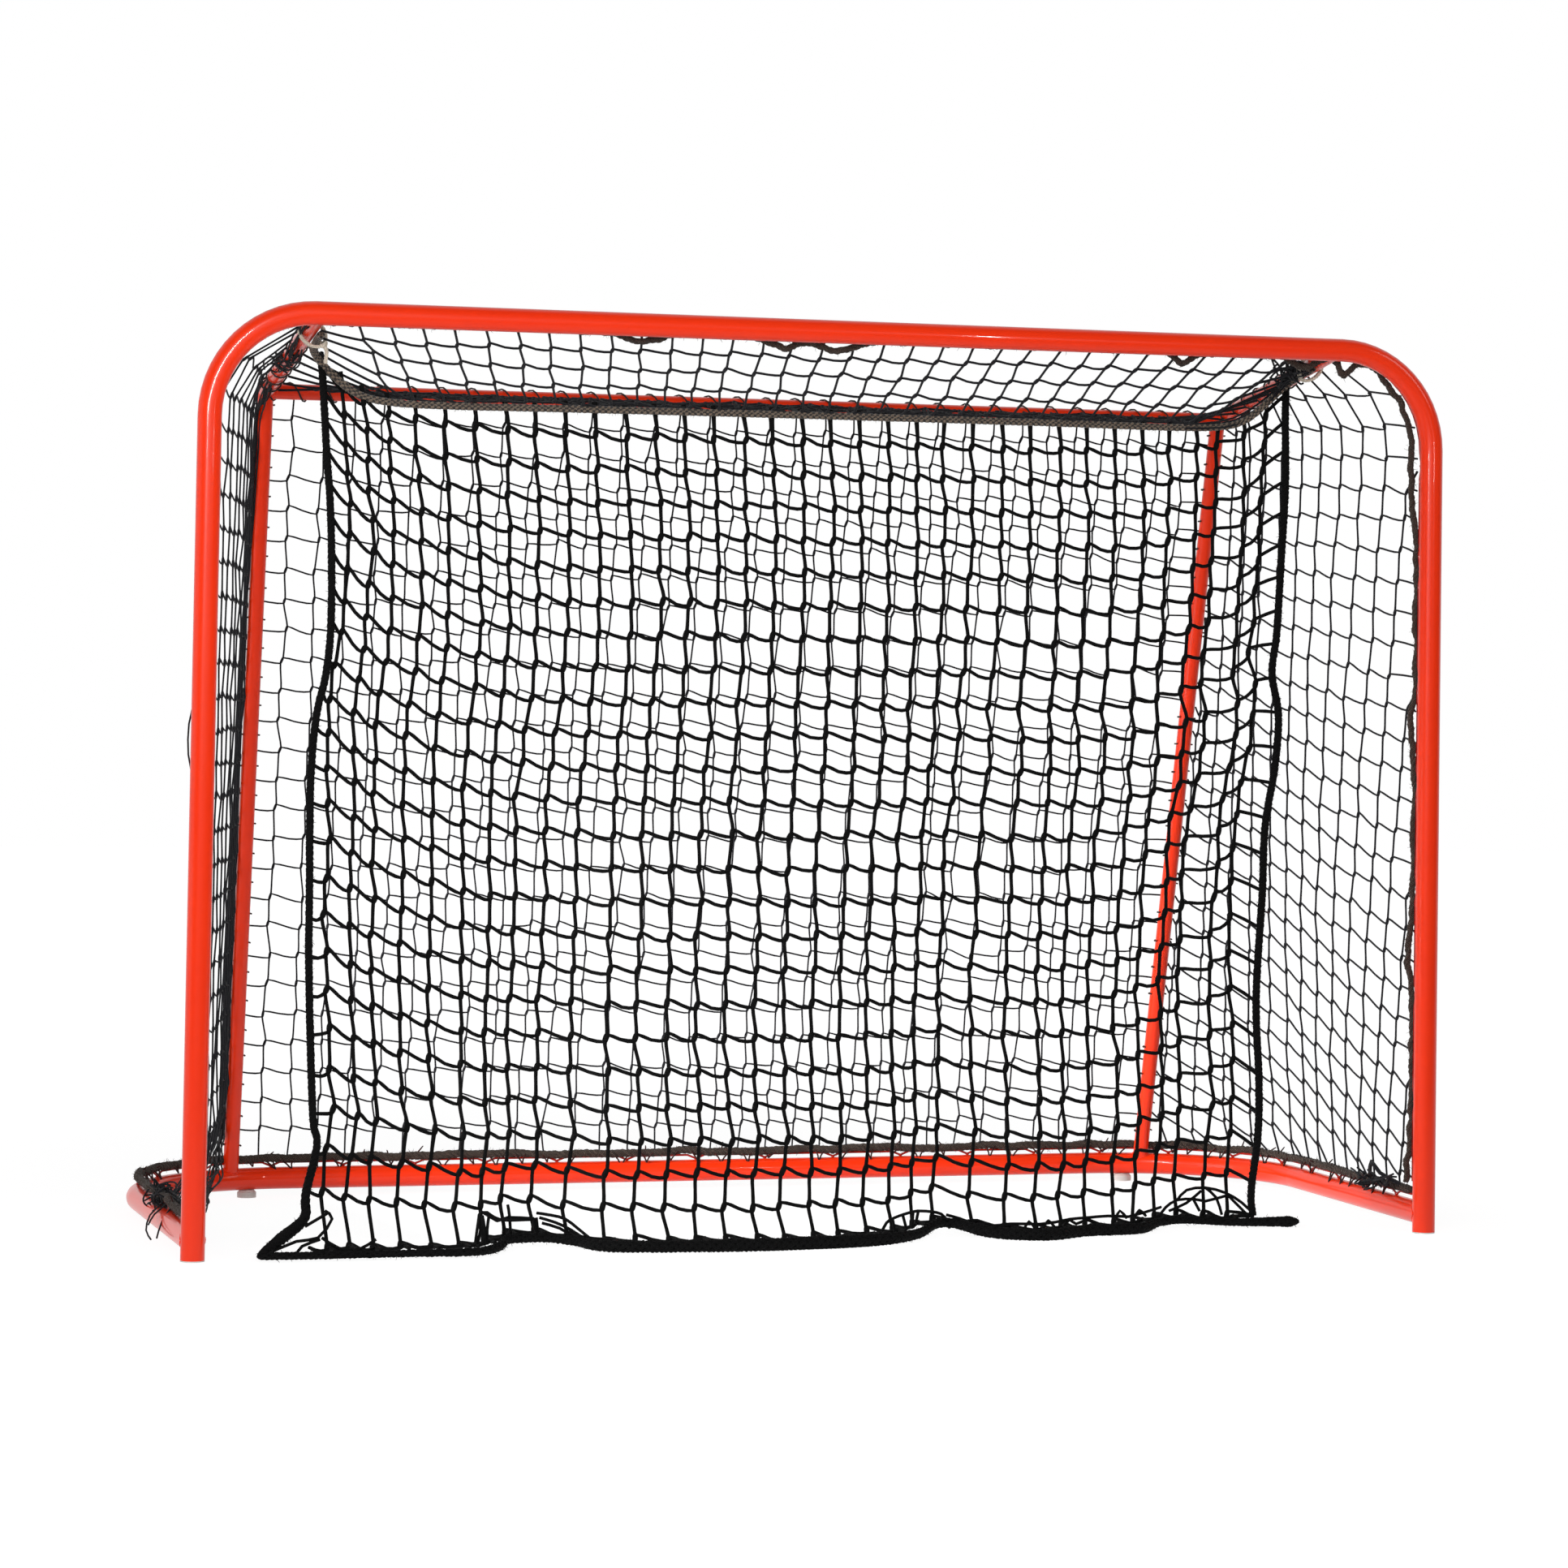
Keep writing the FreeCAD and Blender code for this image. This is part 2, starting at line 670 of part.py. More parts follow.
def lashing(label, start, end, axis, clear, free_side, strip):
    """Turns of twine round a tube and the nets beside it; runs lie on the free side."""
    along = (end - start).normalize()
    free = (free_side - along * free_side.dot(along)).normalize()
    beside = along.cross(free)
    half_twine = size("lashing_size") / 2
    tight = stay_r + lay_gap + half_twine * math.sqrt(2)
    loose = (strip + lay_gap + half_twine) / math.cos(math.pi / LASHING_TURN)
    points = []
    for middle in mid_mesh(start[axis] + clear, end[axis] - clear):
        centre = start + along * ((middle - start[axis]) / along[axis])
        for number in range(LASHING_TURN + 1):
            turn = number / LASHING_TURN
            radius = tight if turn in (0, 1) else loose
            around = free * math.cos(2 * math.pi * turn) + beside * math.sin(2 * math.pi * turn)
            advance = along * (turn - 0.5) * size("lashing_advance")
            points.append(centre + around * radius + advance)
    solid_node(label, square_wire(points, along, size("lashing_size")))


# The nets' edge strips reach this far from a tube's centreline. The side nets leave
# their tubes at a slant, so that their strips reach further out.
level_strip = math.hypot(beside_stay + size("net_border"), 2 * size("twine_size"))
slanted_strip = level_strip + 2 * size("net_border")
DOWN = V(0, 0, -1)
corner_clear = 2 * size("stay_od")
lashing("rear_crossbar_lashing", *rear_ends, 0, corner_clear, DOWN, level_strip)
for side, sign in SIDES:
    rear_corner = top_rail_point(sign, rear_top_depth)
    foot = upright_point(sign, net_foot_z)
    inside = V(-sign, -1, 0)
    upright_ends = (foot, rear_corner)
    lashing(side + "_upright_lashing", *upright_ends, 2, corner_clear, inside, slanted_strip)
    rail_ends = (top_rail_point(sign, size("drop_setback")), rear_corner)
    lashing(side + "_top_rail_lashing", *rail_ends, 1, corner_clear, DOWN, slanted_strip)


# Drop net: a heavy net on its own rope, behind the crossbar. The rope is tied to the
# top rails and stays put, and the net swings about it.


ARC_STEPS = 4


def rounded(points):
    """A rope's corners as arcs that are as large as the runs beside them allow."""
    line = [points[0]]
    for before, corner, after in zip(points, points[1:], points[2:]):
        back, ahead = before - corner, after - corner
        reach = 0.45 * min(back.Length, ahead.Length)
        back, ahead = back.normalize(), ahead.normalize()
        half_angle = back.getAngle(ahead) / 2
        radius = reach * math.tan(half_angle)
        centre = corner + (back + ahead).normalize() * (radius / math.sin(half_angle))
        start = corner + back * reach - centre
        turn = math.pi - 2 * half_angle
        for step in range(ARC_STEPS + 1):
            angle = turn * step / ARC_STEPS
            line.append(centre + start * math.cos(angle) - back * radius * math.sin(angle))
        print(f"rope bend radius {radius:.0f} mm")
    return line + [points[-1]]


# Each end of the rope runs beside its top rail, inboard of it and below.
rope_beside = (stay_r + lay_gap + drop_rope_r) * math.sqrt(0.5)
rope_side = {}
for side, sign in SIDES:
    tail, turn = (
        top_rail_point(sign, size(depth), rope_beside, rope_beside)
        for depth in ("rope_tail_depth", "drop_setback")
    )
    level = place(sign * from_middle("drop_level_inset"), size("drop_setback"), drop_axis_z)
    rope_side[side] = [tail, turn, level]
rope_line = rope_side["left"] + rope_side["right"][::-1]
top_rope = mitred_rod(rounded(rope_line), DOWN, drop_rope_r, 6)
solid_node("drop_net_top_rope", top_rope)

# A tie is one turn of cord round a top rail and the rope beside it, drawn as the
# outline of a hexagon round each.
for side, sign in SIDES:
    along = (top_rail_point(sign, 1) - top_rail_point(sign, 0)).normalize()
    to_rope = V(-sign, 0, -1) - along * V(-sign, 0, -1).dot(along)
    to_rope = to_rope.normalize()
    beside = along.cross(to_rope)
    tie_r = size("tie_diameter") / 2
    rail_ring = (slanted_strip + lay_gap + tie_r) / math.cos(math.pi / 6)
    rope_ring = (drop_rope_r + lay_gap + tie_r) / math.cos(math.pi / 6)
    rope_away = stay_r + lay_gap + drop_rope_r
    corners = [(180, rail_ring, 0), (240, rail_ring, 0), (300, rail_ring, 0)]
    corners += [(300, rope_ring, rope_away), (0, rope_ring, rope_away), (60, rope_ring, rope_away)]
    corners += [(60, rail_ring, 0), (120, rail_ring, 0), (180, rail_ring, 0)]
    centre = top_rail_point(sign, size("tie_depth"))
    turn = []
    for number, (degrees, ring, away) in enumerate(corners):
        angle = math.radians(degrees)
        advance = (number / (len(corners) - 1) - 0.5) * 1.5 * size("tie_diameter")
        point = centre + to_rope * (away + ring * math.cos(angle))
        turn.append(point + beside * ring * math.sin(angle) + along * advance)
    solid_node(side + "_corner_tie", square_wire(turn, along, size("tie_diameter")))

# The swinging net is drawn plumb under the rope, and then set forward to where it
# hangs in the photograph.
lead_r = size("lead_rope_diameter") / 2
hang = drop_axis_z - lead_r - size("drop_floor_gap")
rest_angle = math.degrees(math.asin(size("drop_rest_forward") / hang))
axis = place(0, size("drop_setback"), drop_axis_z)
at_rest = FreeCAD.Placement(axis, FreeCAD.Rotation(V(1, 0, 0), -rest_angle))
drop_twine = size("drop_twine_size")
half_net = from_middle("drop_net_inset")
net_top = -(drop_rope_r + lay_gap)
net_low = lead_r + lay_gap - hang
drop_outline = [
    V(x, -drop_twine / 2, z)
    for x, z in ((-half_net, net_low), (half_net, net_low), (half_net, net_top), (-half_net, net_top))
]
drop_net = netting(
    drop_outline, [drop_outline], 1, drop_twine, size("drop_mesh"), drop_twine, drop_twine
)
solid_node("drop_net", drop_net, at_rest)


def straight_rope(start, end, diameter):
    return Part.makeCylinder(diameter / 2, (end - start).Length, start, end - start)


border_diameter = size("drop_border_diameter")
for side, sign in SIDES:
    x = sign * (half_net + lay_gap + border_diameter / 2)
    border = straight_rope(V(x, 0, net_low), V(x, 0, net_top), border_diameter)
    solid_node(f"drop_net_{side}_border", border, at_rest)
lead_left, lead_right = from_middle("lead_rope_left_inset"), from_middle("lead_rope_right_inset")
lead_ends = [V(-lead_left, 0, -hang), V(lead_right, 0, -hang)]
lead_rope = straight_rope(*lead_ends, size("lead_rope_diameter"))
solid_node("drop_net_lead_rope", lead_rope, at_rest)
print(f"drop net hangs {rest_angle:.2f} degrees forward of plumb")
print(f"drop net's axis at {axis.y:.1f}, {axis.z:.1f}")

doc.recompute()
for thing in doc.Objects:
    if "Invalid" in thing.State or "Error" in thing.State:
        raise ValueError(f"{thing.Label} failed to build: {thing.State}")
for label, feature in nodes.items():
    if feature.Shape.isNull() or not feature.Shape.isValid():
        raise ValueError(f"{label} has no valid shape")

os.makedirs("parts", exist_ok=True)
for label, feature in nodes.items():
    shape = feature.Shape
    print(f"{label}: {len(shape.Solids)} solid, {shape.Volume:.0f} mm3")
    shape.exportStep(f"parts/{label}.step")
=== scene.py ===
import bpy
import math
import random
from mathutils import Matrix, Vector, noise


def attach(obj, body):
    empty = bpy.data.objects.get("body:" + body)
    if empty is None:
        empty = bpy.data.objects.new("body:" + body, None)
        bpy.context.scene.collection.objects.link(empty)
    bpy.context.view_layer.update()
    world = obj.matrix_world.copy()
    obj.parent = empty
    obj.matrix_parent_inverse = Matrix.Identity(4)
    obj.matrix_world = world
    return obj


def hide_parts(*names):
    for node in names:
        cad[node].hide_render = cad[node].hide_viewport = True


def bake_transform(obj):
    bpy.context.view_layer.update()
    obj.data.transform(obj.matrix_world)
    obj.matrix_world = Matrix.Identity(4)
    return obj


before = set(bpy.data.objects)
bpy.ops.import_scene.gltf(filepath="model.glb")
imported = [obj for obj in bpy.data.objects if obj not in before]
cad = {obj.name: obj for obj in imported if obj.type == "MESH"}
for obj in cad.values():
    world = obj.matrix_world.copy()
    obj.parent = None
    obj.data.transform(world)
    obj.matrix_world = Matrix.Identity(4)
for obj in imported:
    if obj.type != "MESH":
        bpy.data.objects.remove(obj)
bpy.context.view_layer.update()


# Welded frame. The real one is 30 mm and 21 mm steel tube, bent cold, coped and welded,
# and then powder coated as a whole in orange-red. The coat is a fused polyester film
# about 0.1 mm thick, with a faint orange peel, that rounds off each weld.


def colour(code):
    """An sRGB hex value as the linear colour that Blender works in."""
    channels = [int(code[i : i + 2], 16) / 255 for i in (1, 3, 5)]
    linear = [c / 12.92 if c <= 0.04045 else ((c + 0.055) / 1.055) ** 2.4 for c in channels]
    return (*linear, 1)


def add(tree, kind, inputs=(), **settings):
    """Adds a node. An input takes a value, a socket, or a node for its first output."""
    node = tree.nodes.new(kind)
    for name, value in settings.items():
        setattr(node, name, value)
    for name, value in inputs.items() if isinstance(inputs, dict) else enumerate(inputs):
        if isinstance(value, bpy.types.Node):
            value = value.outputs[0]
        if isinstance(value, bpy.types.NodeSocket):
            tree.links.new(value, node.inputs[name])
        else:
            node.inputs[name].default_value = value
    return node


NOISE, MATH, VECTOR = "ShaderNodeTexNoise", "ShaderNodeMath", "ShaderNodeVectorMath"
STORE, READ = "GeometryNodeStoreNamedAttribute", "GeometryNodeInputNamedAttribute"


def finish_named(name, **values):
    """A material with one principled shader of given values, and its Object coordinates."""
    material = bpy.data.materials.new(name)
    material.use_nodes = True
    tree = material.node_tree
    shader = tree.nodes["Principled BSDF"]
    for socket, value in values.items():
        shader.inputs[socket.replace("_", " ")].default_value = value
    return material, tree, shader, add(tree, "ShaderNodeTexCoord").outputs["Object"]


def dress(tree, shader, tone, height, strength, distance):
    """Colours a shader and raises its surface by a height from 0 to 1, over metres."""
    relief = {"Height": height, "Strength": strength, "Distance": distance}
    bump = add(tree, "ShaderNodeBump", relief)
    tree.links.new(bump.outputs["Normal"], shader.inputs["Normal"])
    tree.links.new(tone, shader.inputs["Base Color"])


def powder_coat(name, main, worn, peel_mm=2.2):
    """Fused polyester powder gives the eye a smooth gloss over a fine orange peel."""
    coat_values = {"IOR": 1.5, "Specular_IOR_Level": 0.16, "Coat_Roughness": 0.05}
    material, tree, shader, place = finish_named(
        name, Roughness=0.3, Coat_Weight=0.34, **coat_values
    )
    peel = add(tree, NOISE, {"Vector": place, "Scale": 1000 / peel_mm, "Detail": 2})
    cloud = add(tree, NOISE, {"Vector": place, "Scale": 9, "Detail": 3})
    tones = {"Factor": cloud, "A": colour(main), "B": colour(worn)}
    blend = add(tree, "ShaderNodeMix", tones, data_type="RGBA")
    dress(tree, shader, blend.outputs["Result"], peel, 0.25, 0.0001)
    return material


coat = powder_coat("powder coated steel", "#F4360A", "#EE300A")


def shown(name, data):
    """A new object of the scene, round a mesh, a light or a camera."""
    piece = bpy.data.objects.new(name, data)
    bpy.context.scene.collection.objects.link(piece)
    return piece


def carry(node, material):
    """Keeps a CAD node and gives it its finish."""
    piece = cad[node]
    piece.data.materials.clear()
    piece.data.materials.append(material)


for tube in ("front_frame", "base_rail", "rear_crossbar"):
    carry(tube, coat)
for side_name in ("left", "right"):
    carry(side_name + "_upright", coat)
    carry(side_name + "_top_rail", coat)

# The part's own sizes, in millimetres, with depth measured back from the front tube.
TUBE_R, STAY_R = 15, 10.5
HALF_WIDTH, CROSSBAR_Z = 815, 1165
FRONT_BEND, RAIL_BEND = 130, 230
RAIL_DEPTH, RAIL_Z = 680, 25
REAR_DEPTH, REAR_Z = 425.5, 1090
REAR_HALF, FOOT_HALF, ROOF_HALF = 674, 660, 680
FOOT_IN_BEND = FOOT_HALF - HALF_WIDTH + RAIL_BEND
FOOT_DEPTH = RAIL_DEPTH - RAIL_BEND + math.sqrt(RAIL_BEND**2 - FOOT_IN_BEND**2)


def at(x, depth, z):
    """A point in metres from millimetres across, back from the front tube, and up."""
    return Vector((x, depth - RAIL_DEPTH / 2, z)) / 1000


def placed(points):
    """A list of points in metres from places in millimetres."""
    return [at(*point) for point in points]


def upright(side, z):
    """A point on an upright's middle, in millimetres, as across, depth and height."""
    share = (z - RAIL_Z) / (REAR_Z - RAIL_Z)
    across = FOOT_HALF + share * (REAR_HALF - FOOT_HALF)
    return Vector((side * across, FOOT_DEPTH + share * (REAR_DEPTH - FOOT_DEPTH), z))


def top_rail(side, depth):
    """A point on a top rail's middle, in millimetres, as across, depth and height."""
    share = depth / REAR_DEPTH
    across = ROOF_HALF + share * (REAR_HALF - ROOF_HALF)
    return Vector((side * across, depth, CROSSBAR_Z - share * (CROSSBAR_Z - REAR_Z)))


def u_path(half, reach, bend, start, steps=14):
    """Points of a U from its left end to its right: legs, round bends, crosspiece."""
    right = [(half, start)]
    for n in range(steps + 1):
        angle = math.pi / 2 * n / steps
        x, y = bend * math.cos(angle), bend * math.sin(angle)
        right.append((half - bend + x, reach - bend + y))
    return [(-x, y) for x, y in right] + right[::-1]


# Twine, wire and cord are all made by one tree of Geometry Nodes: it runs a round
# section along every line of a mesh of edges, as thick as each point's girth says.

SOCKETS = {float: "Float", int: "Int", tuple: "Vector", type(None): "Material"}


def new_tree(name, given):
    """A Geometry Nodes tree with named inputs and their usual values, and its sockets."""
    tree = bpy.data.node_groups.new(name, "GeometryNodeTree")
    tree.interface.new_socket("Geometry", in_out="INPUT", socket_type="NodeSocketGeometry")
    for label, value in given.items():
        kind = "NodeSocket" + SOCKETS[type(value)]
        socket = tree.interface.new_socket(label, in_out="INPUT", socket_type=kind)
        if value is not None:
            socket.default_value = value
    tree.interface.new_socket("Geometry", in_out="OUTPUT", socket_type="NodeSocketGeometry")
    return tree, tree.nodes.new("NodeGroupInput").outputs


def close_tree(tree, geometry, material, smooth=True):
    """Ends a tree in realized instances that wear one material."""
    if smooth:
        geometry = add(tree, "GeometryNodeSetShadeSmooth", [geometry])
    real = add(tree, "GeometryNodeRealizeInstances", [geometry])
    worn = add(tree, "GeometryNodeSetMaterial", {"Geometry": real, "Material": material})
    tree.links.new(worn.outputs[0], tree.nodes.new("NodeGroupOutput").inputs[0])


def swept(tree, curve, radius, sides, girth=1.0):
    """A round section along a curve, with its along and around kept as attributes."""
    ring = {"Resolution": sides, "Radius": radius}
    ring = add(tree, "GeometryNodeCurvePrimitiveCircle", ring)
    way = add(tree, "GeometryNodeSplineParameter").outputs
    marked = []
    for line, name, value in ((curve, "along", "Length"), (ring, "around", "Factor")):
        values = {"Geometry": line, "Name": name, "Value": way[value]}
        marked.append(add(tree, STORE, values))
    tube = {"Curve": marked[0], "Profile Curve": marked[1], "Fill Caps": True, "Scale": girth}
    return add(tree, "GeometryNodeCurveToMesh", tube)


def twine_along_lines():
    usual = {"Diameter": 0.002, "Sides": 6, "Resolution": 2, "Material": None}
    tree, given = new_tree("Twine along lines", usual)
    radius = add(tree, MATH, [given["Diameter"], 0.5], operation="MULTIPLY")
    line = add(tree, "GeometryNodeMeshToCurve", [given["Geometry"]])
    soft = add(tree, "GeometryNodeCurveSplineType", [line], spline_type="CATMULL_ROM")
    fine = {"Geometry": soft, "Resolution": given["Resolution"]}
    fine = add(tree, "GeometryNodeSetSplineResolution", fine)
    girth = add(tree, READ, {"Name": "girth"})
    thick = add(tree, "GeometryNodeSetCurveRadius", {"Curve": fine, "Radius": girth})
    close_tree(tree, swept(tree, thick, radius, given["Sides"], girth), given["Material"])
    return tree


twine_tree = twine_along_lines()


def line_mesh(name, lines):
    """A mesh of edges from lines of (point, girth) pairs, with points in metres."""
    points, edges, girths = [], [], []
    for line in lines:
        first = len(points)
        for point, width in line:
            points.append(point)
            girths.append(width)
        edges += [(n, n + 1) for n in range(first, len(points) - 1)]
    mesh = bpy.data.meshes.new(name)
    mesh.from_pydata(points, edges, [])
    mesh.attributes.new("girth", "FLOAT", "POINT").data.foreach_set("value", girths)
    return shown(name, mesh)


def grown(piece, tree, **values):
    """Runs a tree on a piece and leaves the plain mesh that it makes."""
    modifier = piece.modifiers.new(tree.name, "NODES")
    modifier.node_group = tree
    for item in tree.interface.items_tree:
        if item.item_type == "SOCKET" and item.in_out == "INPUT" and item.name in values:
            modifier[item.identifier] = values[item.name]
    graph = bpy.context.evaluated_depsgraph_get()
    final = piece.evaluated_get(graph)
    mesh = bpy.data.meshes.new_from_object(
        final, preserve_all_data_layers=True, depsgraph=graph
    )
    piece.modifiers.clear()
    piece.data = mesh
    mesh.name = piece.name
    return piece


def twined(name, lines, diameter_mm, material, sides=6):
    """Twine along lines in metres."""
    values = {"Diameter": diameter_mm / 1000, "Sides": sides, "Material": material}
    return grown(line_mesh(name, lines), twine_tree, **values)


def plain(points):
    """A line of one thickness through points in metres."""
    return [(point, 1.0) for point in points]


def stands_for(piece, body, slot, *replaced):
    """Lets a piece ride on its body and stand for CAD nodes; its slot is not used."""
    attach(piece, body)
    if replaced:
        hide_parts(*replaced)


# Weld seams where the thin tubes meet the thick ones and each other: a row of small
# overlapping beads left by hand welding, under the same powder coat.

SEAM_BEAD, SEAM_PITCH = 0.0032, 0.0024
RING_STEPS = 36
HALVINGS = 24


def weld_seam():
    """Beads of uneven size, a pitch apart along a line, in metres."""
    tree, given = new_tree("Weld seam", {"Seed": 4, "Material": None})
    line = add(tree, "GeometryNodeMeshToCurve", [given["Geometry"]])
    points = {"Curve": line, "Length": SEAM_PITCH}
    points = add(tree, "GeometryNodeCurveToPoints", points, mode="LENGTH")
    bead = {"Radius": SEAM_BEAD / 2, "Subdivisions": 2}
    bead = add(tree, "GeometryNodeMeshIcoSphere", bead)
    size = add(tree, "FunctionNodeRandomValue", {2: 0.8, 3: 1.15, "Seed": given["Seed"]})
    beads = {"Points": points, "Instance": bead, "Scale": size.outputs[1]}
    beads = add(tree, "GeometryNodeInstanceOnPoints", beads)
    close_tree(tree, add(tree, "GeometryNodeRealizeInstances", [beads]), given["Material"])
    return tree


def distance_to(point, line):
    """The least distance from a point to a line of points, in millimetres."""
    best = math.inf
    for here, after in zip(line, line[1:]):
        run = after - here
        share = max(0, min(1, (point - here).dot(run) / run.length_squared))
        best = min(best, (point - here - run * share).length)
    return best


def circle_round(direction, radius):
    """The points of a circle round a direction, from its middle."""
    side = direction.orthogonal().normalized()
    up = direction.cross(side).normalized()
    for n in range(RING_STEPS + 1):
        angle = 2 * math.pi * n / RING_STEPS
        yield (side * math.cos(angle) + up * math.sin(angle)) * radius


def seam_round(start, direction, radius, line, reach):
    """The closed line where a thin tube's skin enters the tube round another line."""
    ring = []
    for out in circle_round(direction, radius):
        low, high = 0, 4 * reach
        for _ in range(HALVINGS):
            middle = (low + high) / 2
            if distance_to(start + out + direction * middle, line) < reach:
                low = middle
            else:
                high = middle
        ring.append(start + out + direction * high)
    return ring


front_line = [Vector((x, 0, z)) for x, z in u_path(HALF_WIDTH, CROSSBAR_Z, FRONT_BEND, 0)]
rail_path = u_path(HALF_WIDTH, RAIL_DEPTH, RAIL_BEND, 0)
rail_line = [Vector((x, depth, RAIL_Z)) for x, depth in rail_path]
seams = []
for side in (-1, 1):
    corner, roof_start = top_rail(side, REAR_DEPTH), top_rail(side, 0)
    foot, head = upright(side, RAIL_Z), upright(side, REAR_Z)
    roof, down = (corner - roof_start).normalized(), (head - foot).normalized()
    post = [Vector((side * HALF_WIDTH, 0, z)) for z in (0, 80)]
    rail_end = Vector((side * HALF_WIDTH, 0, RAIL_Z))
    seams += [
        seam_round(roof_start, roof, STAY_R, front_line, TUBE_R),
        seam_round(foot, down, STAY_R, rail_line, TUBE_R),
        seam_round(rail_end, Vector((0, 1, 0)), TUBE_R, post, TUBE_R),
        seam_round(corner, Vector((-side, 0, 0)), STAY_R, [foot, head], STAY_R),
    ]
    mitre = (roof + down).normalized()
    skin = circle_round(down, STAY_R)
    seams.append([corner + out - down * (out.dot(mitre) / down.dot(mitre)) for out in skin])
weld_seams = line_mesh("weld_seams", [plain(placed(ring)) for ring in seams])
grown(weld_seams, weld_seam(), Material=coat)
stands_for(weld_seams, "goal", "frame_paint")


# Plugs and glides. The posts end in white polyethylene plugs whose rims show, and the
# rear of the rail stands on two injection moulded feet of milky, slightly see-through
# polyamide.


def moulded(name, dark, pale, grain_mm=0.8, **values):
    """Injection moulded plastic gives the eye a matt skin with the grain of the mould."""
    material, tree, shader, place = finish_named(name, IOR=1.49, **values)
    grain = add(tree, NOISE, {"Vector": place, "Scale": 1000 / grain_mm, "Detail": 3})
    tint = add(tree, NOISE, {"Vector": place, "Scale": 60})
    tones = add(tree, "ShaderNodeValToRGB", [tint])
    for stop, tone in zip(tones.color_ramp.elements, (dark, pale)):
        stop.color = colour(tone)
    dress(tree, shader, tones.outputs[0], grain, 0.2, 0.0001)
    return material


plug_white = moulded("moulded polyethylene", "#C6C4BE", "#DBD9D3", Roughness=0.45)
milky = {"Roughness": 0.35, "Transmission_Weight": 0.12}
foot_grey = moulded("milky polyamide", "#BDB8B3", "#DAD5D1", **milky)
carry("post_plugs", plug_white)
carry("rail_glides", foot_grey)


# Lacing wires. A 3 mm steel wire is bent to a zigzag and spot welded to the tube at each dip, all
# along the base rail and behind the posts and the crossbar. The net's border rope is laced to it. It
# was coated with the frame, and it is drawn in a darker red than the tubes.

WIRE, WIRE_RISE = 3.0, 5.0
POST_INSET = 8
PARTS_OF_PITCH, DIP_PART = 8, 4
NEARLY = 0.4


def zigzag_wire():
    usual = {"Diameter": 0.003, "Pitch": 0.04, "Dip": (0, 0, -0.005), "Material": None}
    tree, given = new_tree("Zigzag wire", usual)
    step = add(tree, MATH, [given["Pitch"], PARTS_OF_PITCH], operation="DIVIDE")
    line = add(tree, "GeometryNodeMeshToCurve", [given["Geometry"]])
    even = {"Curve": line, "Length": step}
    even = add(tree, "GeometryNodeResampleCurve", even, mode="LENGTH")
    number = add(tree, "GeometryNodeInputIndex")
    part = add(tree, MATH, [number, PARTS_OF_PITCH], operation="MODULO")
    is_dip = add(tree, MATH, [part, DIP_PART, NEARLY], operation="COMPARE")
    dipped = {"Geometry": even, "Selection": is_dip, "Offset": given["Dip"]}
    dipped = add(tree, "GeometryNodeSetPosition", dipped)
    bends = {"Curve": dipped, "Radius": 0.004, "Count": 3}
    bends = add(tree, "GeometryNodeFilletCurve", bends, mode="POLY")
    radius = add(tree, MATH, [given["Diameter"], 0.5], operation="MULTIPLY")
    wire = swept(tree, bends, radius, 8)
    points = add(tree, "GeometryNodeCurveToPoints", [dipped], mode="EVALUATED")
    spot = add(tree, "GeometryNodeMeshIcoSphere", {"Radius": 0.0022, "Subdivisions": 2})
    spots = {"Points": points, "Selection": is_dip, "Instance": spot, "Scale": (1.3, 1.3, 0.9)}
    spots = add(tree, "GeometryNodeInstanceOnPoints", spots)
    real = add(tree, "GeometryNodeRealizeInstances", [spots])
    both = add(tree, "GeometryNodeJoinGeometry", [wire])
    tree.links.new(real.outputs[0], both.inputs[0])
    close_tree(tree, both, given["Material"])
    return tree


wire_tree = zigzag_wire()
wire_coat = powder_coat("thin powder coat on wire", "#B4200E", "#8E1710", peel_mm=1.2)
WIRE_START = 40
wire_z = RAIL_Z + TUBE_R + WIRE / 2 + WIRE_RISE
wire_depth = math.sqrt(TUBE_R**2 - POST_INSET**2) + WIRE / 2 + WIRE_RISE
base_bends = u_path(HALF_WIDTH, RAIL_DEPTH, RAIL_BEND, WIRE_START)
base_run = [at(x, depth, wire_z) for x, depth in base_bends]
POST_PATH = (HALF_WIDTH - POST_INSET, CROSSBAR_Z - POST_INSET, FRONT_BEND - POST_INSET, 66)
front_run = [at(x, wire_depth, z) for x, z in u_path(*POST_PATH)]
for name, run, pitch, dip in (
    ("base_lacing_wire", base_run, 100, (0, 0, -WIRE_RISE / 1000)),
    ("front_lacing_wire", front_run, 140, (0, -WIRE_RISE / 1000, 0)),
):
    wire = line_mesh(name + "_bent", [plain(run)])
    sizes = {"Diameter": WIRE / 1000, "Pitch": pitch / 1000, "Dip": dip}
    grown(wire, wire_tree, Material=wire_coat, **sizes)
    stands_for(wire, "goal", "lacing_wire_paint", name)


# Border rope of the outer net. Four strands of brown-grey polyamide, worn and fuzzy,
# follow the wires, tied to them by the net's own twine.


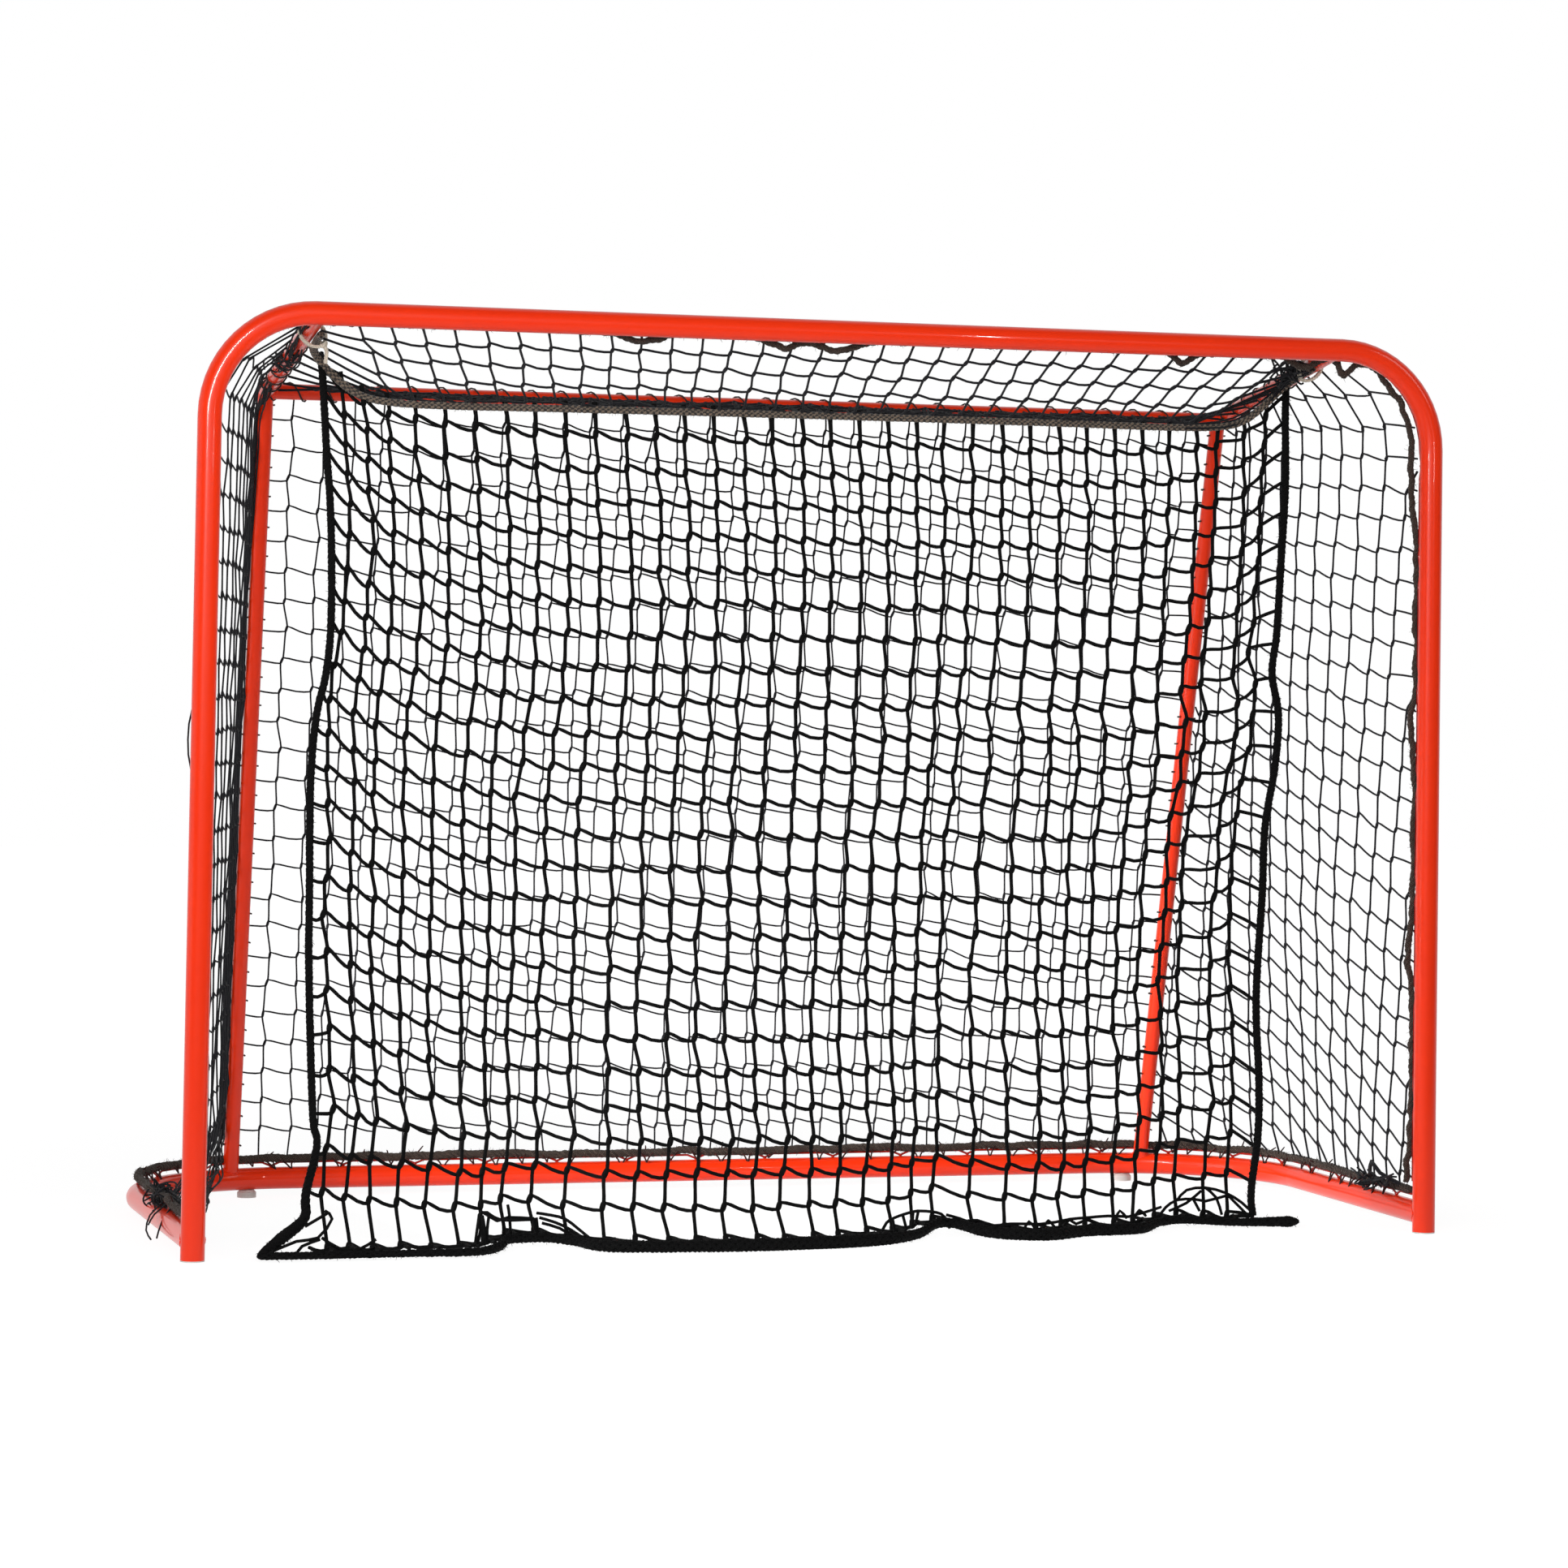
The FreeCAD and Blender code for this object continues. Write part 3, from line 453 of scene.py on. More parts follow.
def twisted_fibre(name, dark, pale, lay_mm, sheen=0.1):
    """Laid synthetic yarn gives the eye fine slanting strands, dark in the grooves between them as
    painted shade and pale on their crests, with a random tone from the hairs, and a matt surface with
    a soft sheen."""
    fibre = {"Roughness": 0.85, "Specular_IOR_Level": 0.12, "Sheen_Roughness": 0.5}
    material, tree, shader, place = finish_named(name, Sheen_Weight=sheen, **fibre)
    ways = []
    for attribute in ("along", "around"):
        way = add(tree, "ShaderNodeAttribute", attribute_name=attribute)
        ways.append(way.outputs["Fac"])
    # The colour follows the strands' ridges: dark at the bottom of each groove and pale on the crest,
    # which is painted shade, times a random tone from the hairs.
    twist = add(tree, MATH, [ways[0], 1000 / lay_mm, ways[1]], operation="MULTIPLY_ADD")
    strand = add(tree, MATH, [twist, 1 / 3], operation="PINGPONG")
    ridge = add(tree, MATH, [strand, 3.0], operation="MULTIPLY")
    hair = add(tree, NOISE, {"Vector": place, "Scale": 900, "Detail": 3})
    mix = add(tree, MATH, [ridge, hair], operation="MULTIPLY")
    tones = add(tree, "ShaderNodeValToRGB", [mix])
    stops = tones.color_ramp.elements
    stops[0].color, stops[1].color = colour(dark), colour(pale)
    stops[1].position = 0.6
    dress(tree, shader, tones.outputs[0], ridge, 0.6, 0.0006)
    return material


def laid_rope():
    """Winds strands round a line, all one way, or braided, with every other one back."""
    usual = {"Diameter": 0.007, "Strands": 3, "Lay": 0.02, "Braided": 0.0}
    usual.update({"Strand share": 0.27, "Step": 0.002, "Slack": 0.0, "Material": None})
    tree, given = new_tree("Laid rope", usual)
    line = add(tree, "GeometryNodeMeshToCurve", [given["Geometry"]])
    soft = add(tree, "GeometryNodeCurveSplineType", [line], spline_type="CATMULL_ROM")
    even = {"Curve": soft, "Length": given["Step"]}
    marked = add(tree, "GeometryNodeResampleCurve", even, mode="LENGTH")
    kept = {}
    for name, kind, output, data in (
        ("way", "GeometryNodeSplineParameter", "Length", "FLOAT"),
        ("ahead", "GeometryNodeInputTangent", "Tangent", "FLOAT_VECTOR"),
        ("outward", "GeometryNodeInputNormal", "Normal", "FLOAT_VECTOR"),
    ):
        values = {"Geometry": marked, "Name": name, "Value": add(tree, kind).outputs[output]}
        marked = add(tree, STORE, values, data_type=data)
        kept[name] = add(tree, READ, {"Name": name}, data_type=data).outputs["Attribute"]
    kept["girth"] = add(tree, READ, {"Name": "girth"}).outputs["Attribute"]
    copies = {"Geometry": marked, "Amount": given["Strands"]}
    copies = add(tree, "GeometryNodeDuplicateElements", copies, domain="SPLINE")
    sums = {socket.name: socket for socket in given} | kept
    sums["copy"] = copies.outputs["Duplicate Index"]
    for name, operation, *values in (
        ("parity", "MODULO", "copy", 2.0),
        ("crossed", "MULTIPLY", "parity", "Braided"),
        ("hand", "MULTIPLY_ADD", "crossed", -2.0, 1.0),
        ("phase", "DIVIDE", "copy", "Strands"),
        ("turns", "DIVIDE", "way", "Lay"),
        ("wound", "MULTIPLY_ADD", "turns", "hand", "phase"),
        ("angle", "MULTIPLY", "wound", 2 * math.pi),
        ("rope_r", "MULTIPLY", "Diameter", 0.5),
        ("strand_r", "MULTIPLY", "Diameter", "Strand share"),
        ("crossings", "MULTIPLY", "turns", "Strands"),
        ("weave_angle", "MULTIPLY", "crossings", math.pi),
        ("weave_wave", "COSINE", "weave_angle"),
        ("weave_turn", "MULTIPLY", "weave_wave", "hand"),
        ("weave_lift", "MULTIPLY", "strand_r", 0.35),
        ("weave_most", "MULTIPLY", "Braided", "weave_lift"),
        ("weave", "MULTIPLY", "weave_turn", "weave_most"),
        ("inner_r", "SUBTRACT", "rope_r", "strand_r"),
        ("woven_r", "ADD", "inner_r", "weave"),
        ("reach", "MULTIPLY", "woven_r", "girth"),
        ("cosine", "COSINE", "angle"),
        ("sine", "SINE", "angle"),
        ("out", "MULTIPLY", "reach", "cosine"),
        ("aside", "MULTIPLY", "reach", "sine"),
    ):
        terms = [sums[value] if isinstance(value, str) else value for value in values]
        sums[name] = add(tree, MATH, terms, operation=operation)
    outward = kept["outward"]
    sideways = add(tree, VECTOR, [kept["ahead"], outward], operation="CROSS_PRODUCT")
    out = add(tree, VECTOR, {0: outward, "Scale": sums["out"]}, operation="SCALE")
    aside = add(tree, VECTOR, {0: sideways, "Scale": sums["aside"]}, operation="SCALE")
    shift = add(tree, VECTOR, [out, aside], operation="ADD")
    strands = add(tree, "GeometryNodeSetPosition", {"Geometry": copies, "Offset": shift})
    cloud = {"Vector": add(tree, "GeometryNodeInputPosition"), "W": sums["copy"]}
    cloud = add(tree, NOISE, cloud | {"Scale": 90.0, "Detail": 2.0}, noise_dimensions="4D")
    push = [cloud.outputs["Color"], (0.5, 0.5, 0.5)]
    push = add(tree, VECTOR, push, operation="SUBTRACT")
    slack = add(tree, VECTOR, {0: push, "Scale": given["Slack"]}, operation="SCALE")
    loose = add(tree, "GeometryNodeSetPosition", {"Geometry": strands, "Offset": slack})
    toned = add(tree, STORE, {"Geometry": loose, "Name": "strand", "Value": sums["parity"]})
    tube = swept(tree, toned, sums["strand_r"], 6, kept["girth"])
    close_tree(tree, tube, given["Material"])
    return tree


rope_tree = laid_rope()
ROPE_INPUTS = {
    "diameter": ("Diameter", 0.001),
    "lay": ("Lay", 0.001),
    "step": ("Step", 0.001),
    "slack": ("Slack", 0.001),
    "share": ("Strand share", 1.0),
    "braided": ("Braided", 1.0),
}


def roped(name, points, material, strands=3, girths=None, **sizes):
    """A rope along points in metres, with its sizes in millimetres."""
    line = list(zip(points, girths)) if girths else plain(points)
    piece = line_mesh(name, [line])
    values = {ROPE_INPUTS[key][0]: value * ROPE_INPUTS[key][1] for key, value in sizes.items()}
    return grown(piece, rope_tree, Material=material, Strands=strands, **values)


def fuzz():
    """The broken ends of fine fibres that stand off a worn rope in all directions."""
    usual = {"Density": 20000.0, "Length": 0.005, "Thickness": 0.0005, "Seed": 1}
    tree, given = new_tree("Fuzz", {**usual, "Material": None})
    skin = {"Mesh": given["Geometry"], "Density": given["Density"], "Seed": given["Seed"]}
    points = add(tree, "GeometryNodeDistributePointsOnFaces", skin)
    bent = {"Start": (0, 0, 0), "Start Handle": (0, 0, 0.4), "End Handle": (0.2, 0, 0.8)}
    bent.update({"End": (0.6, 0, 0.9), "Resolution": 3})
    line = add(tree, "GeometryNodeCurvePrimitiveBezierSegment", bent)
    taper = {"Value": add(tree, "GeometryNodeSplineParameter"), "To Min": 1.0, "To Max": 0.35}
    taper = add(tree, "ShaderNodeMapRange", taper)
    thin = add(tree, MATH, [given["Thickness"], given["Length"]], operation="DIVIDE")
    ring = add(tree, "GeometryNodeCurvePrimitiveCircle", {"Resolution": 3, "Radius": thin})
    tube = {"Curve": line, "Profile Curve": ring, "Scale": taper, "Fill Caps": True}
    tube = add(tree, "GeometryNodeCurveToMesh", tube)
    tilt = {0: (-0.9, -0.9, -3.1), 1: (0.9, 0.9, 3.1), "Seed": given["Seed"]}
    tilt = add(tree, "FunctionNodeRandomValue", tilt, data_type="FLOAT_VECTOR")
    turn = {"Rotation": points.outputs["Rotation"], "Rotate By": tilt}
    turn = add(tree, "FunctionNodeRotateEuler", turn, space="LOCAL")
    size = add(tree, "FunctionNodeRandomValue", {2: 0.3, 3: 1.0, "Seed": given["Seed"]})
    size = add(tree, MATH, [size.outputs[1], given["Length"]], operation="MULTIPLY")
    hairs = {"Points": points, "Instance": tube, "Rotation": turn, "Scale": size}
    hairs = add(tree, "GeometryNodeInstanceOnPoints", hairs)
    close_tree(tree, hairs, given["Material"], smooth=False)
    return tree


fuzz_tree = fuzz()


def fuzz_on(rope, name, material, density, length, thickness, seed):
    """Hairs on a copy of a rope's mesh: per square metre, and in millimetres."""
    sizes = {"Length": length / 1000, "Thickness": thickness / 1000, "Density": density}
    piece = shown(name, rope.data.copy())
    return grown(piece, fuzz_tree, Seed=seed, Material=material, **sizes)


BORDER_ROPE = 7
ROPE_START = 42
LAY_GAP = 0.3
border_brown = twisted_fibre("worn polyamide rope", "#1B1512", "#5A4D45", 3)
rope_z = wire_z + WIRE / 2 + LAY_GAP + BORDER_ROPE / 2
rope_depth = wire_depth + WIRE / 2 + LAY_GAP + BORDER_ROPE / 2
wobble = random.Random(7)


def slackened(points, amount):
    """Gives a rope the small unevenness of one that is tied by hand."""
    return [
        point + Vector([wobble.uniform(-amount, amount) / 1000 for _ in range(3)])
        for point in points
    ]


def divided(points, spacing):
    """Points a spacing apart along straight runs, in metres."""
    result = [points[0]]
    for here, after in zip(points, points[1:]):
        count = max(1, round((after - here).length / spacing))
        result += [here.lerp(after, n / count) for n in range(1, count + 1)]
    return result


# The rope behind the crossbar sags between its laces, at a place across, over a half
# width and by a depth. Beside the right post its loops show now and then.
SWAGS = ((-262, 30, 11), (-75, 24, 13), (-8, 34, 14), (468, 14, 15), (642, 22, 16), (702, 9, 27))
CROSSBAR_FROM, BEND_FROM, LOOP_EVERY = 1150, 960, 47
base_path = u_path(HALF_WIDTH, RAIL_DEPTH, RAIL_BEND, ROPE_START)
base_rope_run = [at(x, depth, rope_z) for x, depth in base_path]
front_rope_run = []
for point in divided([at(x, rope_depth, z) for x, z in u_path(*POST_PATH)], 0.012):
    x, z = point.x * 1000, point.z * 1000
    swag = sum(sag * math.exp(-(((x - spot) / half) ** 2)) for spot, half, sag in SWAGS)
    beside_post = 0
    if x > HALF_WIDTH - 60:
        loop = 1 + 7 * max(0, math.sin(z / LOOP_EVERY)) ** 4
        beside_post = 9 if z > BEND_FROM else loop
    below = swag if z > CROSSBAR_FROM else 0
    front_rope_run.append(point - Vector((beside_post, 0, below)) / 1000)
for name, run, thickness, seed in (
    ("base_border_rope", base_rope_run, BORDER_ROPE + 5, 1),
    ("front_border_rope", front_rope_run, BORDER_ROPE + 2, 2),
):
    line = slackened(divided(run, 0.03), 1.8)
    sizes = {"diameter": thickness, "lay": 30, "share": 0.25, "step": 3, "slack": 4}
    rope = roped(name + "_laid", line, border_brown, 4, **sizes)
    stands_for(rope, "goal", "border_rope", name)
    hair = fuzz_on(rope, name + "_fuzz", border_brown, 11000, 6, 0.4, seed)
    stands_for(hair, "goal", "border_rope")


# Lacing twine ties the rope down: a V for about every mesh, over the inner side of the
# rail, with a cut end here and there.
LACE, LACE_PITCH = 2.4, 0.037
LACED_SHARE, CUT_END_SHARE = 0.7, 0.35
# A V's half width, its drop, its way over the rail and its lean, in metres.
V_HALF, V_DROP, V_OVER, V_LEAN = (0.006, 0.014), (0.010, 0.02), (0.007, 0.012), 0.005
# A cut end's way out, in millimetres.
CUT_END = ((-12, 12), (-8, 2), (3, 14))
lace_red = twisted_fibre("lacing twine", "#1D0B0A", "#4E1C17", 1.6)
lace_shake = random.Random(9)
lace_lines = []
laced = divided(base_rope_run, LACE_PITCH)
for here, after in zip(laced, laced[1:]):
    ahead = (after - here).normalized()
    inward = Vector((-here.x, -0.1 - here.y, 0)).normalized()
    half = ahead * lace_shake.uniform(*V_HALF)
    drop_by = Vector((0, 0, lace_shake.uniform(*V_DROP)))
    over = inward * lace_shake.uniform(*V_OVER)
    if lace_shake.random() < LACED_SHARE:
        tip = here - drop_by + over + ahead * lace_shake.uniform(-V_LEAN, V_LEAN)
        near = here + inward * 0.004
        middle = near.lerp(tip, 0.5)
        lace_lines.append(plain([near - half, middle - half / 3, tip]))
        lace_lines.append(plain([tip, middle + half / 3, near + half]))
    if lace_shake.random() < CUT_END_SHARE:
        out = Vector([lace_shake.uniform(*span) for span in CUT_END]) / 1000
        lace_lines.append([(here, 1.0), (here + out / 1.5, 0.9), (here + out, 0.6)])
laces = twined("base_rope_lacing", lace_lines, LACE, lace_red, 5)
stands_for(laces, "goal", "border_rope")


# Outer net. Thin grey polyamide twine is knotted by machine to square meshes of about
# 40 mm, and four panels are laced to the border ropes and the thin tubes. At each knot
# the two twines run side by side for some 8 mm, on a slant.

OUTER_TWINE, OUTER_KNOT = 2.4, 8.5
BAR_TALL, BAR_WIDE = (0.75, 1.05), (0.12, 0.36)
BAR_POINTS, BAR_GIRTHS = (-1.24, -0.6, 0.6, 1.24), (1.1, 1.6, 1.6, 1.1)
SAG_SHARE = (0.2, 1.6)
outer_grey = twisted_fibre("knotted polyamide twine", "#08080B", "#27272D", 1.6)


def coons(u, v, top, bottom, left, right):
    """A point of the sheet that four edge curves bound, each a function from 0 to 1."""
    across = left(v).lerp(right(v), u)
    down = top(u).lerp(bottom(u), v)
    corners = top(0).lerp(top(1), u).lerp(bottom(0).lerp(bottom(1), u), v)
    return across + down - corners


def knotted(rows, columns, knot_mm, sag_mm, seed, first=1.0):
    """Lines of twine for rows and columns of knots in metres, each from edge to edge.

    A row runs from left to right and a column down, and where they share a knot they
    share its place. Each knot is a short slanting bar: twine comes in at its lower end
    from the left and from below, and at its upper end from the right and from above."""
    shake = random.Random(seed)
    ways, halves, lines = {}, {}, []
    for index, run in enumerate(rows + columns):
        for before, here, after in zip(run, run[1:], run[2:]):
            way = (after - before).normalized()
            ways.setdefault(tuple(here), [None, None])[index >= len(rows)] = way
    for place, (right, down) in ways.items():
        if right is None or down is None:
            continue
        tall, wide = shake.uniform(*BAR_TALL), shake.uniform(*BAR_WIDE)
        half = (right * wide - down * tall) * knot_mm / 2000
        halves[place] = half
        bar = [Vector(place) + half * t for t in BAR_POINTS]
        lines.append(list(zip(bar, BAR_GIRTHS)))
    for index, run in enumerate(rows + columns):
        is_row = index < len(rows)
        sense = -1 if is_row else 1
        line = [(run[0], 1.0 if is_row else first * 1.3)]
        for n, here in enumerate(run[1:-1], start=1):
            half = halves.get(tuple(here), Vector((0, 0, 0)))
            enter, leave = here + half * sense, here - half * sense
            sag = Vector((0, 0, sag_mm * shake.uniform(*SAG_SHARE) / 1000)) if is_row else Vector()
            width = 1.0 if is_row or n > 1 else first
            line.append((line[-1][0].lerp(enter, 0.5) - sag, width))
            line += [(enter, 1.1), (leave, 1.1)]
        line.append((run[-1], 1.0))
        lines.append(line)
    return lines


def netted(name, knots, sag_mm, seed, twine_mm):
    """A panel of the outer net from a full grid of knots, tied at the grid's edges."""
    lines = knotted(*rows_and_columns(knots), OUTER_KNOT, sag_mm, seed)
    panel = twined(name + "_knotted", lines, twine_mm, outer_grey, 5)
    stands_for(panel, "goal", "outer_twine", name)


def rows_and_columns(grid):
    """The inner rows and columns of a full grid, with the edges that they are tied to."""
    return grid[1:-1], [list(column) for column in list(zip(*grid))[1:-1]]


def jittered(knots, amount, seed, across=(1, 1, 1)):
    """Moves each inner knot a little, as a net that is pulled tight by hand lies."""
    shake = random.Random(seed)
    for row in knots[1:-1]:
        for n in range(1, len(row) - 1):
            offset = [shake.gauss(0, amount / 2) / 1000 * share for share in across]
            row[n] = row[n] + Vector(offset)


def along_points(points):
    """A function that walks a line of points by its share of the length."""
    lengths = [0]
    for here, after in zip(points, points[1:]):
        lengths.append(lengths[-1] + (after - here).length)

    def walk(share):
        wanted = min(max(share, 0), 1) * lengths[-1]
        for n in range(1, len(points)):
            if wanted <= lengths[n] or n == len(points) - 1:
                span = lengths[n] - lengths[n - 1]
                return points[n - 1].lerp(points[n], (wanted - lengths[n - 1]) / span)

    return walk


NET_FOOT_Z = rope_z + BORDER_ROPE / 2
NET_TOP_Z = REAR_Z + 5
BEHIND = Vector((0, STAY_R + 2.2, 0))
BACK_ROWS, BACK_COLUMNS = 26, 33

back_corners = [at(*(upright(s, z) + BEHIND)) for z in (NET_TOP_Z, NET_FOOT_Z) for s in (-1, 1)]
straight_half = HALF_WIDTH - RAIL_BEND
rail_run = [at(x, RAIL_DEPTH, NET_FOOT_Z - 2) for x in (-straight_half, straight_half)]
back_edges = [
    along_points(run)
    for run in (
        back_corners[:2],
        [back_corners[2], *rail_run, back_corners[3]],
        back_corners[::2],
        back_corners[1::2],
    )
]
back_knots = [
    [coons(j / BACK_COLUMNS, i / BACK_ROWS, *back_edges) for j in range(BACK_COLUMNS + 1)]
    for i in range(BACK_ROWS + 1)
]
jittered(back_knots, 3.5, 11)
netted("back_net", back_knots, 1.2, 31, OUTER_TWINE)

# The top panel hangs from the crossbar's rope down to the drop net's rope and rises
# again to the rear crossbar. Its ends are tied under the top rails.
DROP_DEPTH, DROP_Z = 150, 1064
TROUGH_Z = DROP_Z + 7
TROUGH_HALF, TROUGH_SHARE = 530, 0.905
TROUGH_RISE = 66
ROOF_TWINE = 3.3
TOP_HALF, TOP_REAR_HALF = 668, 662
UNDER_RAIL = 9
FIRST_TIE, FRONT_TIED, REAR_TIED = 20, 0.28, 0.66
FRONT_ROWS, REAR_ROWS, TOP_COLUMNS = 4, 7, 33
top_front = [at(x, rope_depth + 2, CROSSBAR_Z - POST_INSET) for x in (-TOP_HALF, TOP_HALF)]
rear_depth = REAR_DEPTH - STAY_R - 1
top_rear = [at(x, rear_depth, REAR_Z + 3) for x in (-TOP_REAR_HALF, TOP_REAR_HALF)]
top_knots = []
for i in range(FRONT_ROWS + REAR_ROWS + 1):
    row = []
    for j in range(TOP_COLUMNS + 1):
        u = j / TOP_COLUMNS
        low_x = (-TOP_HALF + 2 * TOP_HALF * u) * TROUGH_SHARE
        over = max(0, abs(low_x) - TROUGH_HALF) / (TOP_HALF - TROUGH_HALF)
        low = at(low_x, DROP_DEPTH, TROUGH_Z + TROUGH_RISE * over**1.3)
        if 0 < i < FRONT_ROWS + REAR_ROWS and j in (0, TOP_COLUMNS):
            back = min(i / FRONT_ROWS, 1) * FRONT_TIED
            back += max(0, i - FRONT_ROWS) / REAR_ROWS * REAR_TIED
            end = 1 if j else -1
            tied = top_rail(end, FIRST_TIE + back * REAR_DEPTH)
            row.append(at(tied.x - end * UNDER_RAIL, tied.y, tied.z - UNDER_RAIL))
        elif i <= FRONT_ROWS:
            row.append(top_front[0].lerp(top_front[1], u).lerp(low, i / FRONT_ROWS))
        else:
            row.append(low.lerp(top_rear[0].lerp(top_rear[1], u), (i - FRONT_ROWS) / REAR_ROWS))
    top_knots.append(row)
jittered(top_knots, 2.5, 12)
netted("top_net", top_knots, 1.5, 32, ROOF_TWINE)

# Each side panel hangs with its columns along the post and the bend, and its rows run
# back to the upright or the top rail. The right one goes round the rail's corner below,
# and its rows rise to the rear; the left one hangs nearly flat from post to upright.
BULGE = {-1: 12, 1: 17}
MESH, SIDE_ROWS = 42, 26
CORNER_STEPS, CORNER_TURN = 7, 71
RAIL_FROM, RAIL_SHARE = 0.04, 0.96
LEFT_INSET, LEFT_FROM, LEFT_REACH, LEFT_RISE = 10, 25, 230, 75


def front_edge(side, z):
    """Where a side panel is tied behind the post or the bend, at a height."""
    inner = FRONT_BEND - POST_INSET
    rise = min(max(0, z - (CROSSBAR_Z - FRONT_BEND)), inner)
    x = HALF_WIDTH - FRONT_BEND + math.sqrt(inner**2 - rise**2)
    return Vector((side * x, rope_depth + 3, z))


def rear_edge(side, z):
    """Where it ends at a height: beside the upright, or under the top rail."""
    if z <= REAR_Z:
        point = upright(side, z)
    else:
        point = top_rail(side, REAR_DEPTH * (CROSSBAR_Z - z) / (CROSSBAR_Z - REAR_Z))
    return point + Vector((side * (STAY_R + 2), 0, 0))


rail_corner = [(HALF_WIDTH, 0), (HALF_WIDTH, RAIL_DEPTH - RAIL_BEND)]
for n in range(1, CORNER_STEPS + 1):
    angle = math.radians(CORNER_TURN) * n / CORNER_STEPS
    across = HALF_WIDTH - RAIL_BEND + RAIL_BEND * math.cos(angle)
    rail_corner.append((across, RAIL_DEPTH - RAIL_BEND + RAIL_BEND * math.sin(angle)))
rail_corner.append((FOOT_HALF + STAY_R, FOOT_DEPTH))
round_rail = along_points([Vector((x, depth, 0)) for x, depth in rail_corner])


def side_point(side, share, z):
    """A point of a side panel, at a share of the way back, and a height."""
    front, rear = front_edge(side, z), rear_edge(side, z)
    straight = front.lerp(rear, share)
    straight.x -= side * BULGE[side] * 4 * share * (1 - share)
    if side > 0:
        corner = round_rail(RAIL_FROM + RAIL_SHARE * share) + (rear - rear_edge(1, RAIL_Z)) * share
        low = max(0, 1 - (z - NET_FOOT_Z) / (REAR_Z - NET_FOOT_Z)) ** 2
    else:
        corner = Vector((HALF_WIDTH - LEFT_INSET, LEFT_FROM + LEFT_REACH * share, 0))
        low = max(0, 1 - (z - NET_FOOT_Z) / LEFT_RISE) ** 1.3
    return straight.lerp(Vector((side * corner.x, corner.y, z)), low)


def side_reach(side, z):
    """How far back a side panel goes at a height."""
    line = [side_point(side, n / 10, z) for n in range(11)]
    return sum((after - here).length for here, after in zip(line, line[1:]))


def height_where(side, back, low_z, high_z):
    """The height between two others where a panel goes a given way back."""
    for _ in range(12):
        middle_z = (low_z + high_z) / 2
        if side_reach(side, middle_z) > back:
            low_z = middle_z
        else:
            high_z = middle_z
    return low_z


AXES = (0.3, 1.3, 2.3)
GATHER_STEP, GATHER_SWAY = 40, 1.6


def gathered(path, count, seed):
    """Strands of bunched net along a path of ((x, depth, z), spread), in millimetres."""
    run = []
    for (here, width), (after, next_width) in zip(path, path[1:]):
        parts = max(1, round((after - here).length / GATHER_STEP))
        for n in range(parts):
            t = n / parts
            run.append((here.lerp(after, t), width + t * (next_width - width)))
    run.append(path[-1])
    strands = []
    for strand in range(count):
        line = []
        for k, (middle, width) in enumerate(run):
            spots = [Vector((strand * 3.17, k * 0.3, seed + axis * 9.7)) for axis in AXES]
            shift = Vector([noise.noise(spot) for spot in spots]) * GATHER_SWAY
            line.append(at(*(middle + shift * width)))
        strands.append(plain(line))
    return strands


def tangle(middle, spread, half_length, bow, count, seed):
    """Loose loops of twine about a place, in millimetres."""
    shake = random.Random(seed)

    def about(sizes):
        return Vector([max(-1.4, min(1.4, shake.gauss(0, 1))) * size for size in sizes])

    loops = []
    for _ in range(count):
        centre = Vector(middle) + about(spread)
        span, bent = about(half_length), about(bow)
        loop = [centre + span * t + bent * (1 - t * t) for t in (-1, -0.5, 0, 0.5, 1)]
        loops.append(plain(placed(loop)))
    return loops


# Where the left panel is bunched up: beside the upright, as height, way out and spread,
# and along the rail, as place and spread. Then its torn ends beside the post.
BUNCHED_UPRIGHT = (
    (1060, 12, 7), (900, 14, 4.5), (780, 16, 4), (600, 18, 3.8), (400, 19, 4), (180, 17, 5),
    (95, 15, 6),
)
BUNCHED_RAIL = (
    ((-690, 590, 73), 8), ((-716, 440, 58), 8), ((-760, 245, 46), 9), ((-783, 155, 40), 8),
    ((-800, 120, 48), 7), ((-809, 190, 52), 8), ((-811, 270, 52), 9),
)
TORN_ENDS = (
    ((-816, 235, 46), (-838, 200, 34), (-846, 176, 18), (-842, 160, 8)),
    ((-814, 215, 46), (-834, 190, 36), (-843, 180, 24)),
    ((-812, 190, 46), (-829, 160, 30), (-838, 140, 12)),
    ((-822, 22, 687), (-829, 24, 655), (-829, 24, 617), (-822, 24, 587)),
)
# Where the right panel is bunched up: round the top rope's end, and as a peak of rope
# near the post's foot.
BUNCHED_END = (
    (664, 70, 1143), (662, 110, 1136), (656, 138, 1124), (644, 148, 1104), (612, 150, 1080),
    (575, 150, 1069), (520, 150, 1066),
)
PEAK = ((806, 60, 58), (788, 84, 70), (782, 100, 84), (790, 124, 66), (802, 150, 58))
PEAK_GIRTH = 2.1


def left_bunches():
    """The lines of net that lie bunched or torn at the left, in metres."""
    bunch = [(top_rail(-1, depth) + Vector((-9, 0, -4)), 8) for depth in (40, 160)]
    bunch.append((top_rail(-1, 330) + Vector((-4, -2, -4)), 10))
    bunch += [(upright(-1, z) + Vector((-out, -5, 0)), width) for z, out, width in BUNCHED_UPRIGHT]
    bunch += [(Vector(place), width) for place, width in BUNCHED_RAIL]
    at_rail = top_rail(-1, 220) + Vector((-7, 0, -8))
    found = gathered(bunch, 10, 5)
    found += tangle(at_rail, (5, 50, 6), (4, 20, 5), (6, 9, 7), 34, 8)
    found += tangle((-812, 262, 48), (7, 30, 7), (6, 20, 9), (7, 12, 9), 80, 3)
    return found + [plain(placed(tail)) for tail in TORN_ENDS]


